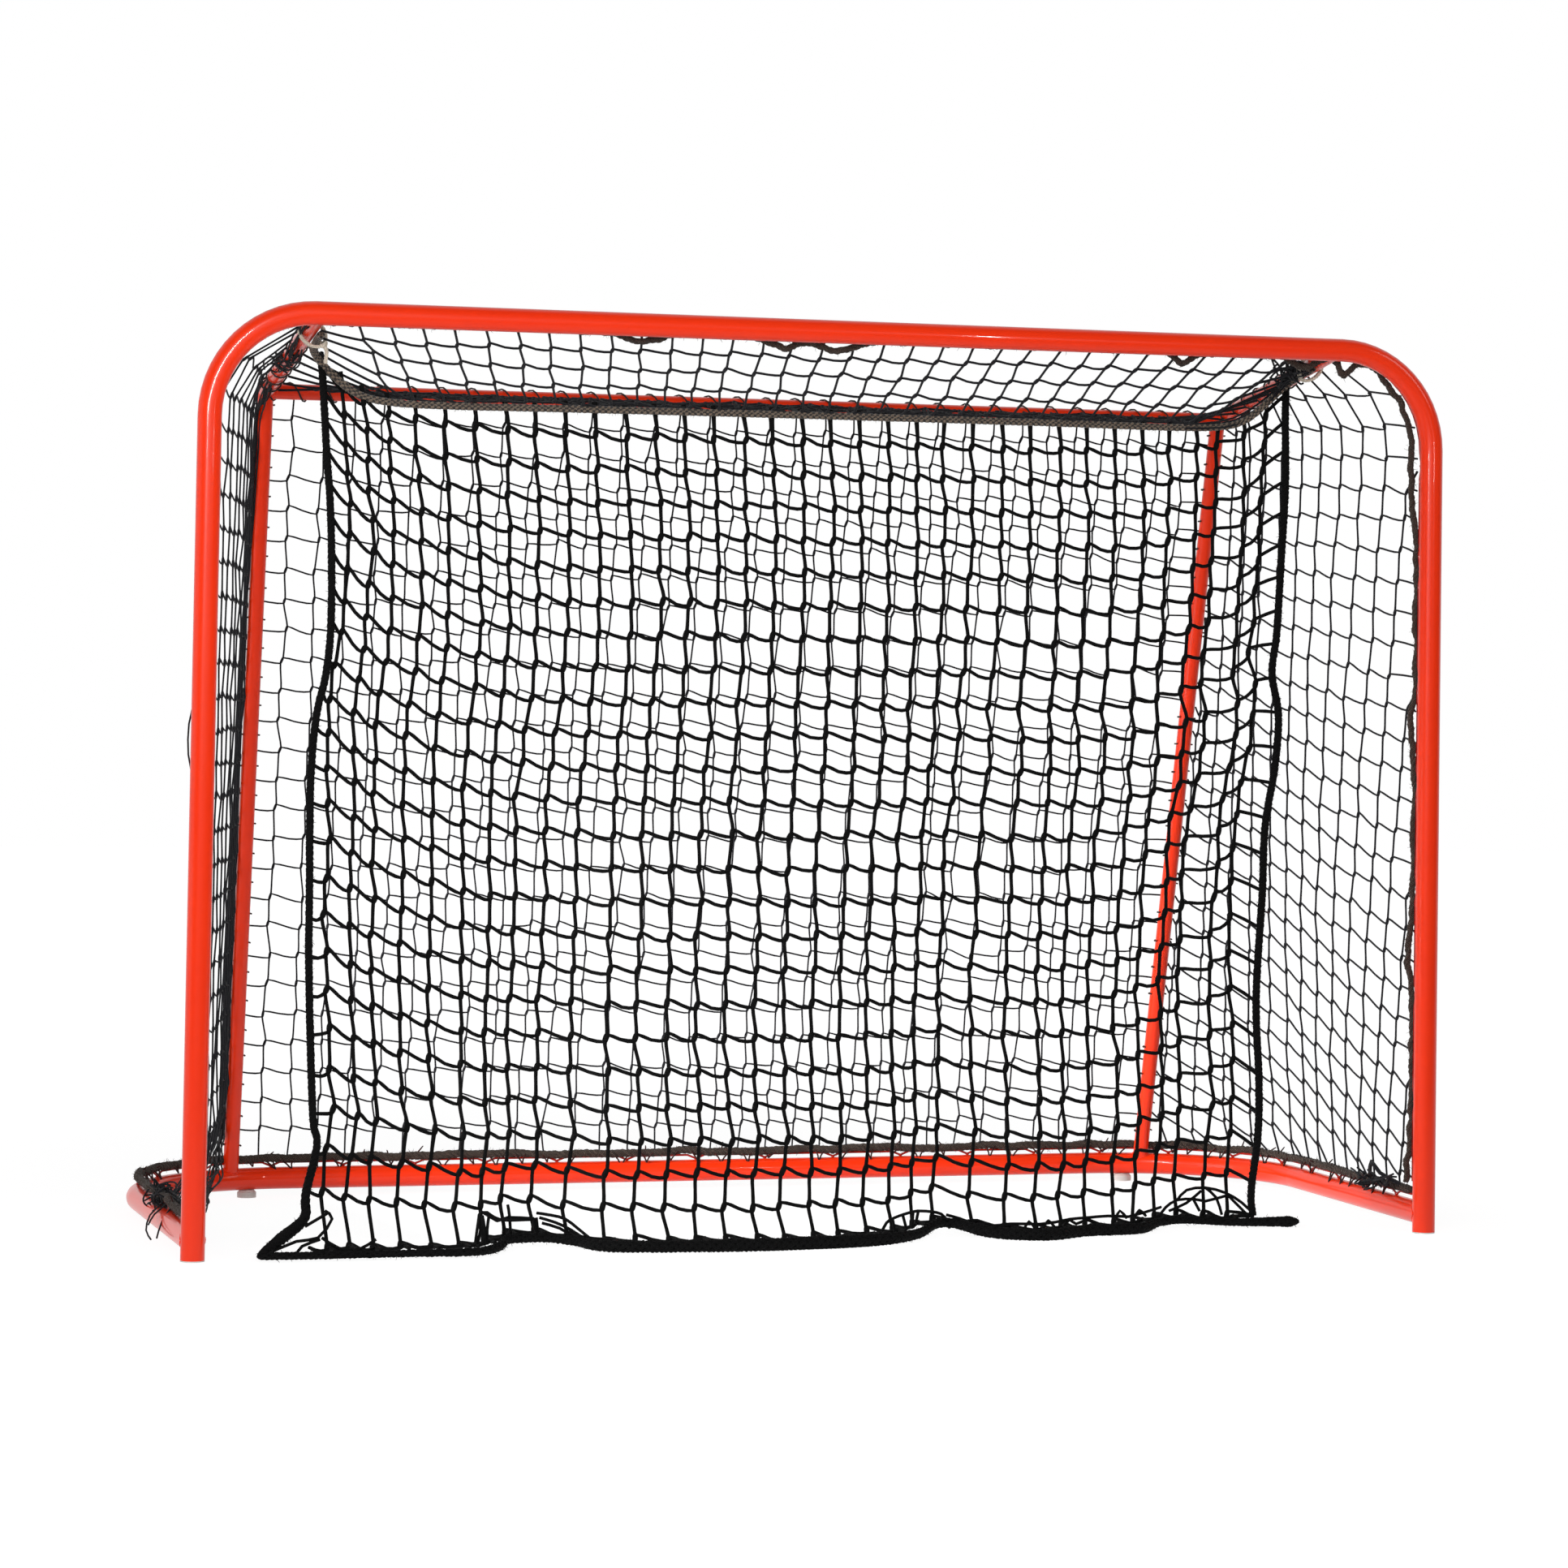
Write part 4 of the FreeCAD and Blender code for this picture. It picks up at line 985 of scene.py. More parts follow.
def right_bunches():
    """The lines of net that lie bunched at the right, in metres."""
    bunch = [(Vector(place), 9 - n * 0.6) for n, place in enumerate(BUNCHED_END)]
    found = gathered(bunch, 8, 6)
    found += tangle((652, 100, 1140), (8, 22, 7), (8, 16, 8), (7, 10, 8), 36, 4)
    found += tangle((784, 100, 60), (9, 24, 5), (7, 18, 5), (7, 10, 7), 18, 2)
    return found + [[(at(*place), PEAK_GIRTH) for place in PEAK]]


ALL_ROWS, ALL_COLUMNS = range(-9, SIDE_ROWS), range(-6, 18)
RAISED_FOOT_Z = 150
FIRST_GAP, LAST_GAP, POST_GAP, FOOT_LEAN = (share * MESH for share in (0.35, 0.3, 1.36, 0.6))
SIDE_SHAKE = (0.8, 1.5, 1.6)
side_top = CROSSBAR_Z - POST_INSET - 2
SIDE_PITCH = (side_top - NET_FOOT_Z) / SIDE_ROWS
for label, side, seed, lean, twine in (("left", -1, 13, 0.0, 2.4), ("right", 1, 14, 0.1, 2.8)):
    shake = random.Random(seed)
    least_z = 0 if side > 0 else RAISED_FOOT_Z
    knots, spots, backs = {}, {}, {}
    for i in ALL_ROWS:
        z_post = NET_FOOT_Z + SIDE_PITCH * i
        rise = 0.03 + 0.28 * (1000 - z_post) / 900 if side > 0 else 0.05 - z_post / 11000
        for j in ALL_COLUMNS:
            back = (j + lean * (SIDE_ROWS - i) * (70 - i) / 44) * MESH
            z = z_post + rise * back
            if not NET_FOOT_Z + 14 < z < side_top - 12:
                continue
            reach = side_reach(side, max(z, least_z))
            if FIRST_GAP < back < reach - LAST_GAP:
                shift = Vector([shake.gauss(0, amount) for amount in SIDE_SHAKE])
                knots[i, j] = at(*(side_point(side, back / reach, z) + shift))
                spots[i, j], backs[i, j] = z, back
    foot_reach = side_reach(side, max(NET_FOOT_Z, least_z))
    rows, columns = [], []
    for i in ALL_ROWS:
        js = [j for j in ALL_COLUMNS if (i, j) in knots]
        if not js:
            continue
        first_spot, first_back = spots[i, js[0]], backs[i, js[0]]
        if first_back < POST_GAP:
            start = side_point(side, 0, first_spot - 4)
        else:
            start = side_point(side, (first_back - FOOT_LEAN) / foot_reach, NET_FOOT_Z)
        end = side_point(side, 1, min(spots[i, js[-1]] + 6, side_top - 8))
        row = [at(*start)] + [knots[i, j] for j in js] + [at(*end)]
        rows.append(row if side < 0 else row[::-1])
    for j in ALL_COLUMNS:
        inside = [i for i in reversed(ALL_ROWS) if (i, j) in knots]
        if len(inside) < 2:
            continue
        upper_spot, upper_back = spots[inside[0], j], backs[inside[0], j]
        if j > 0:
            top = rear_edge(side, height_where(side, upper_back, upper_spot, side_top))
        else:
            top = side_point(side, 0, upper_spot + 22)
        foot = side_point(side, min(1, backs[inside[-1], j] / foot_reach), NET_FOOT_Z)
        columns.append([at(*top)] + [knots[i, j] for i in inside] + [at(*foot)])
    lines = knotted(rows, columns, OUTER_KNOT, 1.0, seed)
    lines += left_bunches() if side < 0 else right_bunches()
    net = twined(label + "_side_net_knotted", lines, twine, outer_grey, 5)
    stands_for(net, "goal", "outer_twine", label + "_side_net")


# Lashings. Twine holds the panels to the thin tubes, one turn for each mesh. On the rear
# crossbar and the top rails it is wound on as one long spiral; on the uprights it comes
# round from behind.

LASH_PITCH, LASH_TWINE = 41.0, 2.4
LASH_RADIUS = STAY_R + LASH_TWINE / 2 + 0.6
LASH_FROM = 165
TURN_START, TURN_STEP = -22, 22.4

lash_grey = twisted_fibre("lashing twine", "#1C1413", "#5B443E", 1.6)
for name, start, end in (
    ("rear_crossbar_lashing", top_rail(-1, REAR_DEPTH), top_rail(1, REAR_DEPTH)),
    ("left_top_rail_lashing", top_rail(-1, LASH_FROM), top_rail(-1, REAR_DEPTH - 20)),
    ("right_top_rail_lashing", top_rail(1, LASH_FROM), top_rail(1, REAR_DEPTH - 20)),
):
    ends = divided(placed([start, end]), 0.05)
    spiral = {"diameter": 2 * LASH_RADIUS + LASH_TWINE, "lay": LASH_PITCH, "step": 3.5}
    spiral["share"] = LASH_TWINE / 2 / spiral["diameter"]
    lash = roped(name + "_wound", ends, lash_grey, 1, slack=2.0, **spiral)
    stands_for(lash, "goal", "outer_twine", name)
for label, side in (("left", -1), ("right", 1)):
    lines = []
    low, high = upright(side, 75), upright(side, REAR_Z - 20)
    turns = round((high - low).length / LASH_PITCH)
    for n in range(turns + 1):
        middle = low.lerp(high, n / turns) + Vector((0, 0, wobble.uniform(-3, 3)))
        tilt = wobble.uniform(-0.12, 0.12)
        arc = []
        for k in range(11):
            angle = math.radians(TURN_START + TURN_STEP * k)
            out = Vector((math.cos(angle), math.sin(angle), math.cos(angle) * tilt))
            arc.append(at(*(middle + out * LASH_RADIUS)))
        lines.append(plain(arc))
    lash = twined(label + "_upright_lashing_wound", lines, LASH_TWINE, lash_grey, 5)
    stands_for(lash, "goal", "outer_twine", label + "_upright_lashing")


# Top rope of the drop net: eight braided yarns, four light and four dark brown, tied
# to the top rails with pale cord. The drop net hangs from it.

TOP_ROPE = 10
ROPE_POINTS = [
    (-668, 60, 1143), (-667, 100, 1136), (-664, 132, 1128), (-655, 147, 1117),
    (-640, 150, 1102), (-610, 150, 1078), (-575, 150, 1067), (-500, 150, 1063),
    (-300, 150, 1064), (0, 150, 1065), (300, 150, 1065), (500, 150, 1064),
    (575, 150, 1067), (610, 150, 1078), (640, 150, 1102), (655, 147, 1117),
    (664, 132, 1128), (667, 100, 1136), (668, 60, 1143),
]


def braided_yarn(name, dark, pale):
    """Braided multifilament gives the eye yarns in two browns that cross under and over."""
    material, tree, shader, place = finish_named(name, Roughness=0.8, Sheen_Weight=0.3)
    strand = add(tree, "ShaderNodeAttribute", attribute_name="strand").outputs["Fac"]
    tones = {"Factor": strand, "A": colour(dark), "B": colour(pale)}
    mix = add(tree, "ShaderNodeMix", tones, data_type="RGBA")
    hair = add(tree, NOISE, {"Vector": place, "Scale": 1200, "Detail": 2})
    dress(tree, shader, mix.outputs["Result"], hair, 0.5, 0.0003)
    return material


rope_browns = braided_yarn("two-tone braid", "#1F1712", "#6C5C4C")
rope_run = placed(ROPE_POINTS)
sizes = {"diameter": TOP_ROPE, "lay": 32, "braided": 1.0, "share": 0.19, "step": 2.0, "slack": 0.8}
top_rope = roped("drop_net_top_rope_braided", rope_run, rope_browns, 8, **sizes)
stands_for(top_rope, "goal", "drop_rope", "drop_net_top_rope")
top_fuzz = fuzz_on(top_rope, "drop_net_top_rope_fuzz", rope_browns, 16000, 4, 0.3, 3)
stands_for(top_fuzz, "goal", "drop_rope")


# Drop net. Heavy black polyester twine, 5 mm thick, knotted to meshes of about 42 mm. It
# is wider than its rope, so it hangs in pleats at both sides, and its weighted rope
# lies on the floor in front of the rope that it hangs from.

DROP_TWINE, DROP_KNOT = 4.9, 10.5
drop_black = twisted_fibre("heavy polyester twine", "#010101", "#0A0A0B", 3, sheen=0.0)

LEFT_BORDER = [
    (-652, 152, 1126), (-648, 149, 1085), (-643, 141, 996), (-638, 131, 914),
    (-638, 115, 790), (-645, 105, 719), (-657, 99, 668), (-665, 88, 586), (-667, 70, 445),
    (-668, 57, 345), (-664, 35, 176), (-659, 28, 137), (-673, 20, 78), (-676, 12, 48),
    (-706, -6, 27), (-731, -24, 13), (-739, -30, 9),
]
RIGHT_BORDER = [
    (667, 152, 1134), (665, 148, 1080), (663, 140, 988), (652, 126, 878), (643, 115, 790),
    (634, 108, 736), (641, 101, 682), (634, 92, 617), (617, 84, 531), (611, 76, 445),
    (600, 66, 307), (602, 58, 201), (604, 64, 127), (604, 86, 50), (612, 100, 16),
]
LEAD_ROPE = [
    (-740, -28, 8), (-730, -30, 8), (-649, -34, 8), (-553, -34, 8), (-470, -33, 8),
    (-430, 8, 9), (-412, 48, 12), (-360, 58, 12), (-325, 40, 9), (-290, -12, 8),
    (-150, -32, 8), (-36, -25, 8), (50, -8, 8), (120, 30, 9), (165, 84, 15), (192, 88, 15),
    (225, 40, 9), (288, 4, 8), (360, 40, 8), (434, 50, 8), (475, 90, 10), (515, 104, 11),
    (574, 96, 8), (640, 88, 8), (660, 86, 8), (672, 85, 8),
]
LEAD_GIRTHS = [
    0.25, 0.55, 0.55, 0.55, 0.62, 0.72, 0.7, 0.7, 0.74, 0.85, 0.9, 1.0, 0.98, 0.8, 0.7, 0.78,
    0.92, 0.88, 0.92, 0.85, 0.68, 0.6, 0.6, 0.78, 0.85, 0.3,
]
FIRST_SPANS = (0.67, 0.69, 0.82, 0.9, 0.98)
LAST_SPANS = (0.62, 0.87, 0.9, 0.84, 0.93)
DROP_COLUMNS, DROP_ROWS, FLOOR_ROWS = 35, 25, 2
INNER_POINTS, INNER_END = 14, (-672, -2, 14)


def column_share(j):
    """How far across the net a column hangs: the pleated ones stand closer together."""
    spans = [1.0] * DROP_COLUMNS
    spans[: len(FIRST_SPANS)] = FIRST_SPANS
    spans[-len(LAST_SPANS) :] = LAST_SPANS[::-1]
    return sum(spans[:j]) / sum(spans)


def across_line(points, start, end, raised):
    """A function that follows points by their place across, and not by length."""

    def walk(share):
        x = start + share * (end - start)
        for here, after in zip(points, points[1:]):
            if here[0] <= x <= after[0] or after is points[-1]:
                t = (x - here[0]) / (after[0] - here[0])
                depth, z = (here[k] + t * (after[k] - here[k]) for k in (1, 2))
                return at(x, depth, z + raised)

    return walk


def rise_near(share, width):
    return max(0.0, 1 - share / width) ** 1.6


rope_level = [point for point in ROPE_POINTS if point[1] >= 147]
hung_edge = across_line(rope_level, LEFT_BORDER[0][0], RIGHT_BORDER[0][0], -TOP_ROPE / 2)
lead_edge = across_line(LEAD_ROPE, -672, RIGHT_BORDER[-1][0], 6)
inner_left = along_points(placed([*LEFT_BORDER[:INNER_POINTS], INNER_END]))
left_edge = along_points(placed(LEFT_BORDER))
right_edge = along_points(placed(RIGHT_BORDER))
FOLD_BEHIND, FOLD_DOWN = 46, 0.006


def fold_edge(share):
    """Where the net reaches the floor, a little behind its weighted rope."""
    point = lead_edge(share)
    inner = math.sin(math.pi * share) ** 0.25
    return point + Vector((0, FOLD_BEHIND * inner / 1000, -FOLD_DOWN * inner))


drop_knots = []
BORDER_LENGTH = 1120
LEFT_LIFT, LEFT_SHARE, RIGHT_LIFT, RIGHT_SHARE = 78, 0.24, 62, 0.22
PLEATED, PLEAT, SWAY, DRIFT = 7, 2.6, 9, 7
for i in range(DROP_ROWS + FLOOR_ROWS + 1):
    v = min(i / DROP_ROWS, 1)
    row = []
    for j in range(DROP_COLUMNS + 1):
        u = column_share(j)
        point = coons(u, v, hung_edge, fold_edge, inner_left, right_edge)
        fade = math.sin(math.pi * v) ** 0.5 if v < 1 else 0
        lift = LEFT_LIFT * rise_near(u, LEFT_SHARE) + RIGHT_LIFT * rise_near(1 - u, RIGHT_SHARE)
        edge = min(j, DROP_COLUMNS - j)
        pleat = max(0, PLEATED - edge) * PLEAT * (1 if edge % 2 else -1)
        if 0 < j < DROP_COLUMNS:
            sway = noise.noise(Vector((u * 5, v * 4, 0))) * SWAY * fade
            drift = noise.noise(Vector((u * 5, v * 4, 7))) * DRIFT * fade
            point = point + Vector((drift, pleat * fade + sway, lift * fade)) / 1000
        elif 0 < v < 1:
            walked = max(0, v - (1.15 - v) * lift * fade / BORDER_LENGTH)
            point = left_edge(walked * 0.94) if j == 0 else right_edge(walked)
        if i > DROP_ROWS:
            point = point.lerp(lead_edge(u), (i - DROP_ROWS) / FLOOR_ROWS)
        row.append(point)
    drop_knots.append(row)
jittered(drop_knots, 2.6, 21, across=(1, 1, 0.8))
drop_lines = knotted(*rows_and_columns(drop_knots), DROP_KNOT, 2.5, 33, first=1.25)

# Spare net that lies bunched up behind the weighted rope, in loose folds: each line's
# places across, in depth and up.
FOLD_GIRTH = 0.85
FOLDS = (
    ((-464, -16, 14), (-459, -10, 32), (-462, -14, 51), (-449, 1, 52), (-440, 10, 45)),
    ((-453, -4, 12), (-452, -3, 31), (-456, -6, 49)),
    ((-447, 4, 12), (-448, 2, 31), (-445, 6, 48)),
    ((-467, -19, 18), (-463, -15, 43), (-458, -9, 54), (-432, 20, 39), (-409, 63, 38), (-373, 69, 35)),
    ((-443, 7, 48), (-423, 37, 38), (-393, 66, 34), (-371, 70, 34)),
    ((-417, 51, 36), (-414, 58, 12)),
    ((-409, 62, 54), (-406, 63, 38), (-404, 63, 11)),
    ((-370, 70, 36), (-367, 71, 15)),
    ((-374, 69, 34), (-371, 70, 21), (-366, 71, 13)),
    ((-370, 70, 42), (-351, 67, 39), (-335, 59, 35), (-321, 48, 24), (-309, 30, 13)),
    ((-366, 71, 36), (-346, 65, 30), (-329, 56, 22), (-313, 36, 11)),
    ((-362, 72, 29), (-341, 62, 23), (-326, 54, 13)),
    ((71, 18, 15), (78, 21, 26), (89, 27, 31), (108, 37, 35), (130, 56, 36), (162, 94, 30)),
    ((162, 94, 30), (177, 100, 26), (187, 101, 15), (189, 102, 7)),
    ((88, 27, 30), (92, 29, 13)),
    ((104, 35, 34), (111, 39, 14)),
    ((121, 45, 36), (119, 43, 16)),
    ((132, 58, 35), (127, 52, 20)),
    ((162, 94, 29), (159, 90, 20), (168, 98, 14)),
    ((179, 100, 25), (177, 100, 11)),
    ((184, 101, 25), (199, 92, 21), (213, 72, 16), (224, 56, 13), (238, 47, 12)),
    ((191, 102, 13), (205, 83, 18), (216, 67, 21), (233, 49, 16), (252, 39, 19), (284, 20, 20)),
    ((209, 78, 9), (212, 73, 18), (216, 68, 11)),
    ((267, 30, 12), (273, 27, 23), (280, 22, 14)),
    ((289, 19, 14), (298, 23, 24), (309, 29, 14)),
    ((284, 20, 20), (309, 29, 21), (333, 41, 23), (363, 54, 23), (392, 58, 24), (422, 62, 22)),
    ((422, 62, 22), (455, 85, 25), (485, 109, 28)),
    ((323, 35, 14), (333, 41, 22), (344, 46, 16), (361, 54, 20), (375, 56, 16)),
    ((404, 60, 20), (410, 61, 30), (420, 62, 20)),
    ((432, 64, 20), (441, 71, 29), (455, 85, 20)),
    ((481, 107, 14), (494, 114, 27), (514, 125, 35), (536, 123, 36), (552, 121, 33)),
    ((514, 125, 35), (527, 124, 48), (552, 121, 51), (580, 119, 44), (605, 122, 30), (623, 124, 14)),
    ((500, 117, 22), (527, 124, 31), (547, 122, 47)),
    ((552, 121, 51), (567, 119, 38), (575, 118, 15)),
    ((580, 119, 44), (593, 120, 32), (615, 123, 12)),
    ((536, 123, 36), (545, 122, 20)),
    ((552, 121, 33), (569, 119, 37), (585, 119, 41)),
    ((-729, -16, 8), (-691, -20, 24), (-665, -22, 28), (-648, -23, 51), (-657, -23, 61)),
    ((-691, -20, 7), (-684, -21, 18), (-662, -22, 26)),
    ((-681, -21, 42), (-652, -23, 59)),
    ((-660, -22, 28), (-639, -23, 15), (-616, -23, 12), (-593, -24, 25)),
    ((-647, -23, 6), (-643, -23, 11), (-616, -23, 12), (-593, -24, 5)),
)
for fold in FOLDS:
    drop_lines.append([(at(*place), FOLD_GIRTH) for place in fold])
drop = twined("drop_net_knotted", drop_lines, DROP_TWINE, drop_black, 5)
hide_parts("drop_net")

SIDE_ROPE, LEAD = 11, 16
HANGS_FROM, HANGS_FREE = at(0, 150, 1064), at(0, 150, 960)
left_girths = [0.95] * (len(LEFT_BORDER) - 5) + [1.1, 1.25, 1.5, 1.0, 0.5]
right_girths = [1.0] * len(RIGHT_BORDER)
sizes = {"diameter": SIDE_ROPE, "lay": 27, "share": 0.27, "step": 3.0, "slack": 1.0}
for name, places, girths in (
    ("drop_net_left_border", LEFT_BORDER, left_girths),
    ("drop_net_right_border", RIGHT_BORDER, right_girths),
):
    border = roped(name + "_laid", placed(places), drop_black, 4, girths, **sizes)
    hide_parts(name)
    border_fuzz = fuzz_on(border, name + "_fuzz", drop_black, 14000, 4, 0.45, 6)
    for piece in (border, border_fuzz):
        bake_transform(piece)
        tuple(HANGS_FROM)
        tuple(HANGS_FREE)
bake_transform(drop)
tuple(HANGS_FROM)
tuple(HANGS_FREE)

lead_black = twisted_fibre("weighted braid", "#010101", "#0C0C0D", 4, sheen=0.0)
lead_run = placed(LEAD_ROPE)
sizes = {"diameter": LEAD, "lay": 48, "braided": 1.0, "share": 0.2, "step": 3.0, "slack": 1.5}
lead = roped("drop_net_lead_rope_braided", lead_run, lead_black, 8, LEAD_GIRTHS, **sizes)
stands_for(lead, "drop_net", "lead_rope", "drop_net_lead_rope")
lead_fuzz = fuzz_on(lead, "drop_net_lead_rope_fuzz", lead_black, 16000, 5, 0.5, 4)
stands_for(lead_fuzz, "drop_net", "lead_rope")


# Corner ties: off-white cord of three strands, wound twice round the top rail and rope.

TIE_DEPTH = 85
TURN_STEPS = 24
WINDING_LENGTH = 11
ROPE_ASIDE, ROPE_BELOW = 11.3, 11
WOUND_DOWN, WOUND_ASIDE, WOUND_MIDDLE = 19.5, 14.5, 6
HITCH_BELOW, HITCH_DEEP, HITCH_WIDE = 20, 3, 7
tie_sizes = {"diameter": 4.5, "lay": 13, "share": 0.27, "step": 1.5, "slack": 0.6}
tie_white = twisted_fibre("off-white cord", "#BFB29E", "#F4ECDD", 3)
for label, side in (("left", -1), ("right", 1)):
    below = Vector((-side * ROPE_ASIDE, 0, -ROPE_BELOW)).normalized()
    sideways = Vector((0, 1, 0)).cross(below)
    middle = top_rail(side, TIE_DEPTH) + below * WOUND_MIDDLE
    wound = []
    for n in range(2 * TURN_STEPS + 1):
        turn = 2 * math.pi * n / TURN_STEPS
        swing = below * WOUND_DOWN * math.cos(turn) + sideways * WOUND_ASIDE * math.sin(turn)
        forth = (n / (2 * TURN_STEPS) - 0.5) * WINDING_LENGTH
        wound.append(middle + swing + Vector((0, forth, 0)))
    hitch = middle + below * HITCH_BELOW
    knot = []
    for k in range(10):
        turn = math.radians(40 * k)
        deep, wide = side * HITCH_DEEP * math.cos(turn), HITCH_WIDE * math.sin(turn)
        knot.append(hitch + Vector((deep, wide, HITCH_DEEP * math.sin(2 * turn))))
    runs = {"wound": wound}
    if side < 0:
        runs["knot"] = knot
        for tail, y in (("tail", -3), ("short_tail", 2)):
            steps = ((0, y, 0), (-side * 3, y - 5, -9), (-side, y - 9, -24))
            runs[tail] = [hitch + Vector(step) for step in steps]
    for part, run in runs.items():
        name = f"{label}_corner_tie_{part}"
        tie = roped(name, placed(run), tie_white, **tie_sizes)
        covered = [label + "_corner_tie"] if part == "wound" else []
        stands_for(tie, "goal", "tie_cord", *covered)


# Studio. A seamless white paper floor and wall, wide soft boxes, and the photograph's
# own viewpoint.

FRONT_DARK = 0.95


def emptied(block):
    """The node tree of a new material or world, without its usual nodes."""
    block.use_nodes = True
    block.node_tree.nodes.clear()
    return block.node_tree


def white_stage(name, shade, glow, share):
    """Matt paper gives the eye no floor at all: the camera, and gloss and glass, see it
    as nearly white, and gloss sees it dark in front of the goal."""
    material = bpy.data.materials.new(name)
    tree = emptied(material)
    path = add(tree, "ShaderNodeLightPath").outputs
    rays = [path["Is Camera Ray"], path["Is Glossy Ray"]]
    either = add(tree, MATH, rays, operation="MAXIMUM")
    seen = add(tree, MATH, [either, path["Is Transmission Ray"]], operation="MAXIMUM")
    paper = add(tree, "ShaderNodeBsdfDiffuse", {"Color": colour(shade)})
    place = add(tree, "ShaderNodeTexCoord").outputs["Object"]
    away = add(tree, VECTOR, [place], operation="LENGTH").outputs["Value"]
    level = {"Value": away, "From Min": 1.0, "From Max": 3.0, "To Min": glow}
    level = add(tree, "ShaderNodeMapRange", level)
    depth = add(tree, "ShaderNodeSeparateXYZ", [place]).outputs["Y"]
    front = {"Value": depth, "From Min": -2.2, "From Max": -0.3, "To Min": FRONT_DARK}
    front = add(tree, "ShaderNodeMapRange", front | {"To Max": 0.0})
    dimmed = add(tree, MATH, [front, path["Is Glossy Ray"]], operation="MULTIPLY")
    left_over = add(tree, MATH, [1.0, dimmed], operation="SUBTRACT")
    strength = add(tree, MATH, [level, left_over], operation="MULTIPLY")
    lit = {"Color": colour("#FFFFFF"), "Strength": strength}
    lit = add(tree, "ShaderNodeEmission", lit)
    faint = add(tree, "ShaderNodeBsdfDiffuse", {"Color": (share, share, share, 1)})
    both = add(tree, "ShaderNodeAddShader", [lit, faint])
    pick = add(tree, "ShaderNodeMixShader", [seen, paper, both])
    out = tree.nodes.new("ShaderNodeOutputMaterial")
    tree.links.new(pick.outputs[0], out.inputs["Surface"])
    return material


FLOOR_HALF = 12
floor_mesh = bpy.data.meshes.new("studio_floor")
floor_signs = ((-1, -1), (1, -1), (1, 1), (-1, 1))
floor_corners = [(x * FLOOR_HALF, y * FLOOR_HALF, 0) for x, y in floor_signs]
floor_mesh.from_pydata(floor_corners, [], [(0, 1, 2, 3)])
floor = shown("studio_floor", floor_mesh)
floor_mesh.materials.append(white_stage("white seamless paper", "#F0F0F0", 0.93, 0.16))


def lit_world(name):
    """A white world to the camera, dim as a light, and to gloss bright behind only."""
    world = bpy.data.worlds.new(name)
    tree = emptied(world)
    ray = add(tree, "ShaderNodeLightPath").outputs
    rays = [ray["Is Camera Ray"], ray["Is Transmission Ray"]]
    ray_seen = add(tree, MATH, rays, operation="MAXIMUM")
    facing = add(tree, "ShaderNodeTexCoord").outputs["Generated"]
    behind = add(tree, "ShaderNodeSeparateXYZ", [facing]).outputs["Y"]
    level = {"Value": behind, "From Min": -0.2, "From Max": 0.3, "To Min": 0.05}
    level = add(tree, "ShaderNodeMapRange", level)
    seen, mirrored, glow = (
        add(tree, "ShaderNodeBackground", {"Color": colour("#FFFFFF"), "Strength": strength})
        for strength in (1.0, level, 0.2)
    )
    unseen = add(tree, "ShaderNodeMixShader", [ray["Is Glossy Ray"], glow, mirrored])
    pick = add(tree, "ShaderNodeMixShader", [ray_seen, unseen, seen])
    add(tree, "ShaderNodeOutputWorld", {"Surface": pick})
    return world


bpy.context.scene.world = lit_world("studio")


def soft_box(name, place, target, size, power, matt=True, gloss=False, lean=0, spread=180):
    """A lamp of a width and height in metres, aimed from one place at another."""
    light = bpy.data.lights.new(name, "AREA")
    light.shape = "RECTANGLE"
    light.size, light.size_y = size
    light.energy = power
    light.spread = math.radians(spread)
    lamp = shown(name, light)
    lamp.visible_camera = False
    lamp.visible_diffuse = matt
    lamp.visible_glossy = gloss
    direction = Vector(target) - Vector(place)
    aimed = direction.to_track_quat("-Z", "Y").to_matrix().to_4x4()
    turned = Matrix.Rotation(math.radians(lean), 4, "Z")
    lamp.matrix_world = Matrix.Translation(place) @ aimed @ turned


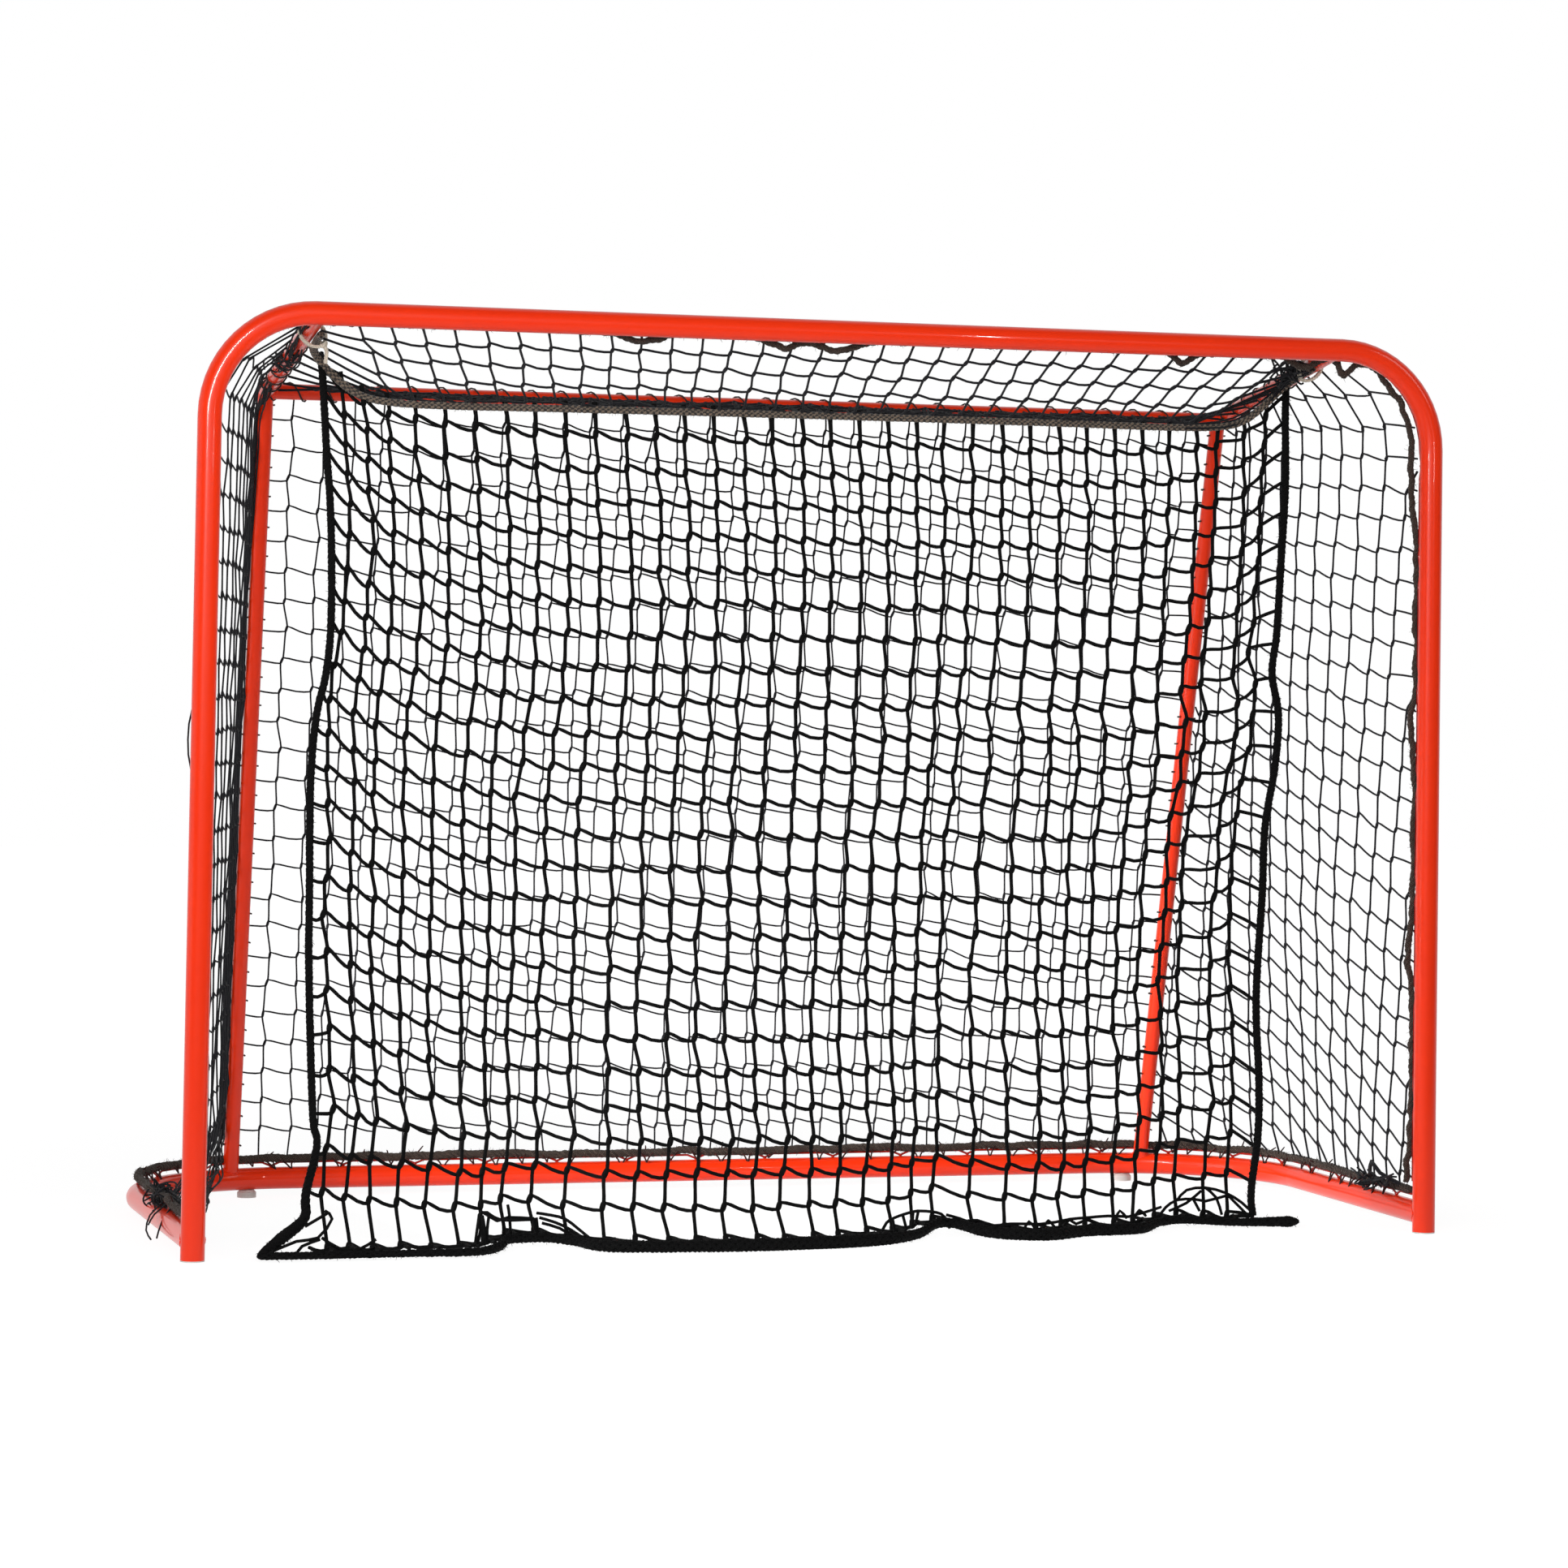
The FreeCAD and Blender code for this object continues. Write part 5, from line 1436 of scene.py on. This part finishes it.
STRIP = {"matt": False, "gloss": True}
soft_box("near softbox", (-0.55, -2.5, 1.15), (-0.2, 0, 0.6), (1.4, 1.2), 24)
soft_box("left softbox", (-2.4, -4.6, 2.2), (0, 0, 0.7), (2.4, 1.8), 60)
soft_box("side softbox", (-3.4, -0.3, 0.9), (0.8, 0.1, 0.2), (1.6, 1.6), 27)
soft_box("inner softbox", (-0.5, -0.06, 0.34), (0.8, 0.16, 0.16), (0.7, 0.6), 4.6, spread=85)
soft_box("right softbox", (3.4, -2.4, 2.8), (0.5, 0, 0.5), (0.9, 1.8), 22, gloss=True)
LEFT_BEND, RIGHT_BEND = (-0.79, -0.34, 1.1), (0.78, -0.34, 1.02)
soft_box("left highlight", (-1.68, -3.04, 1.8), LEFT_BEND, (0.42, 1.7), 130, lean=-45, **STRIP)
soft_box("right highlight", (1.16, -3.3, 1.3), RIGHT_BEND, (0.05, 0.4), 7, **STRIP)

# The photograph's camera, fitted to the frame: its place in millimetres, its turns in
# radians, and its focal length and shift in the photograph's pixels.
FRAME_PIXELS, SENSOR, FOCAL_PIXELS = 1932, 36, 5861.93
PITCH, ROLL, YAW = 0.0404, 0.0147, 0.3023
OFFSET_X, OFFSET_Y = 150, -385
CAMERA_PLACE = (-1736.57, -5832.63, 741.6)
forward_flat = Vector((math.sin(YAW), math.cos(YAW), 0))
right_flat = Vector((math.cos(YAW), -math.sin(YAW), 0))
up = Vector((0, 0, 1))
forward = forward_flat * math.cos(PITCH) + up * math.sin(PITCH)
tilted_up = up * math.cos(PITCH) - forward_flat * math.sin(PITCH)
right = right_flat * math.cos(ROLL) + tilted_up * math.sin(ROLL)
camera_up = tilted_up * math.cos(ROLL) - right_flat * math.sin(ROLL)
view = Matrix((right, camera_up, -forward)).transposed().to_4x4()
lens = bpy.data.cameras.new("photograph")
lens.sensor_width = SENSOR
lens.lens = FOCAL_PIXELS / FRAME_PIXELS * SENSOR
lens.shift_x, lens.shift_y = -OFFSET_X / FRAME_PIXELS, OFFSET_Y / FRAME_PIXELS
camera = shown("photograph", lens)
camera.matrix_world = Matrix.Translation(at(*CAMERA_PLACE)) @ view
bpy.context.scene.camera = camera
bpy.context.scene.view_settings.view_transform = "Standard"
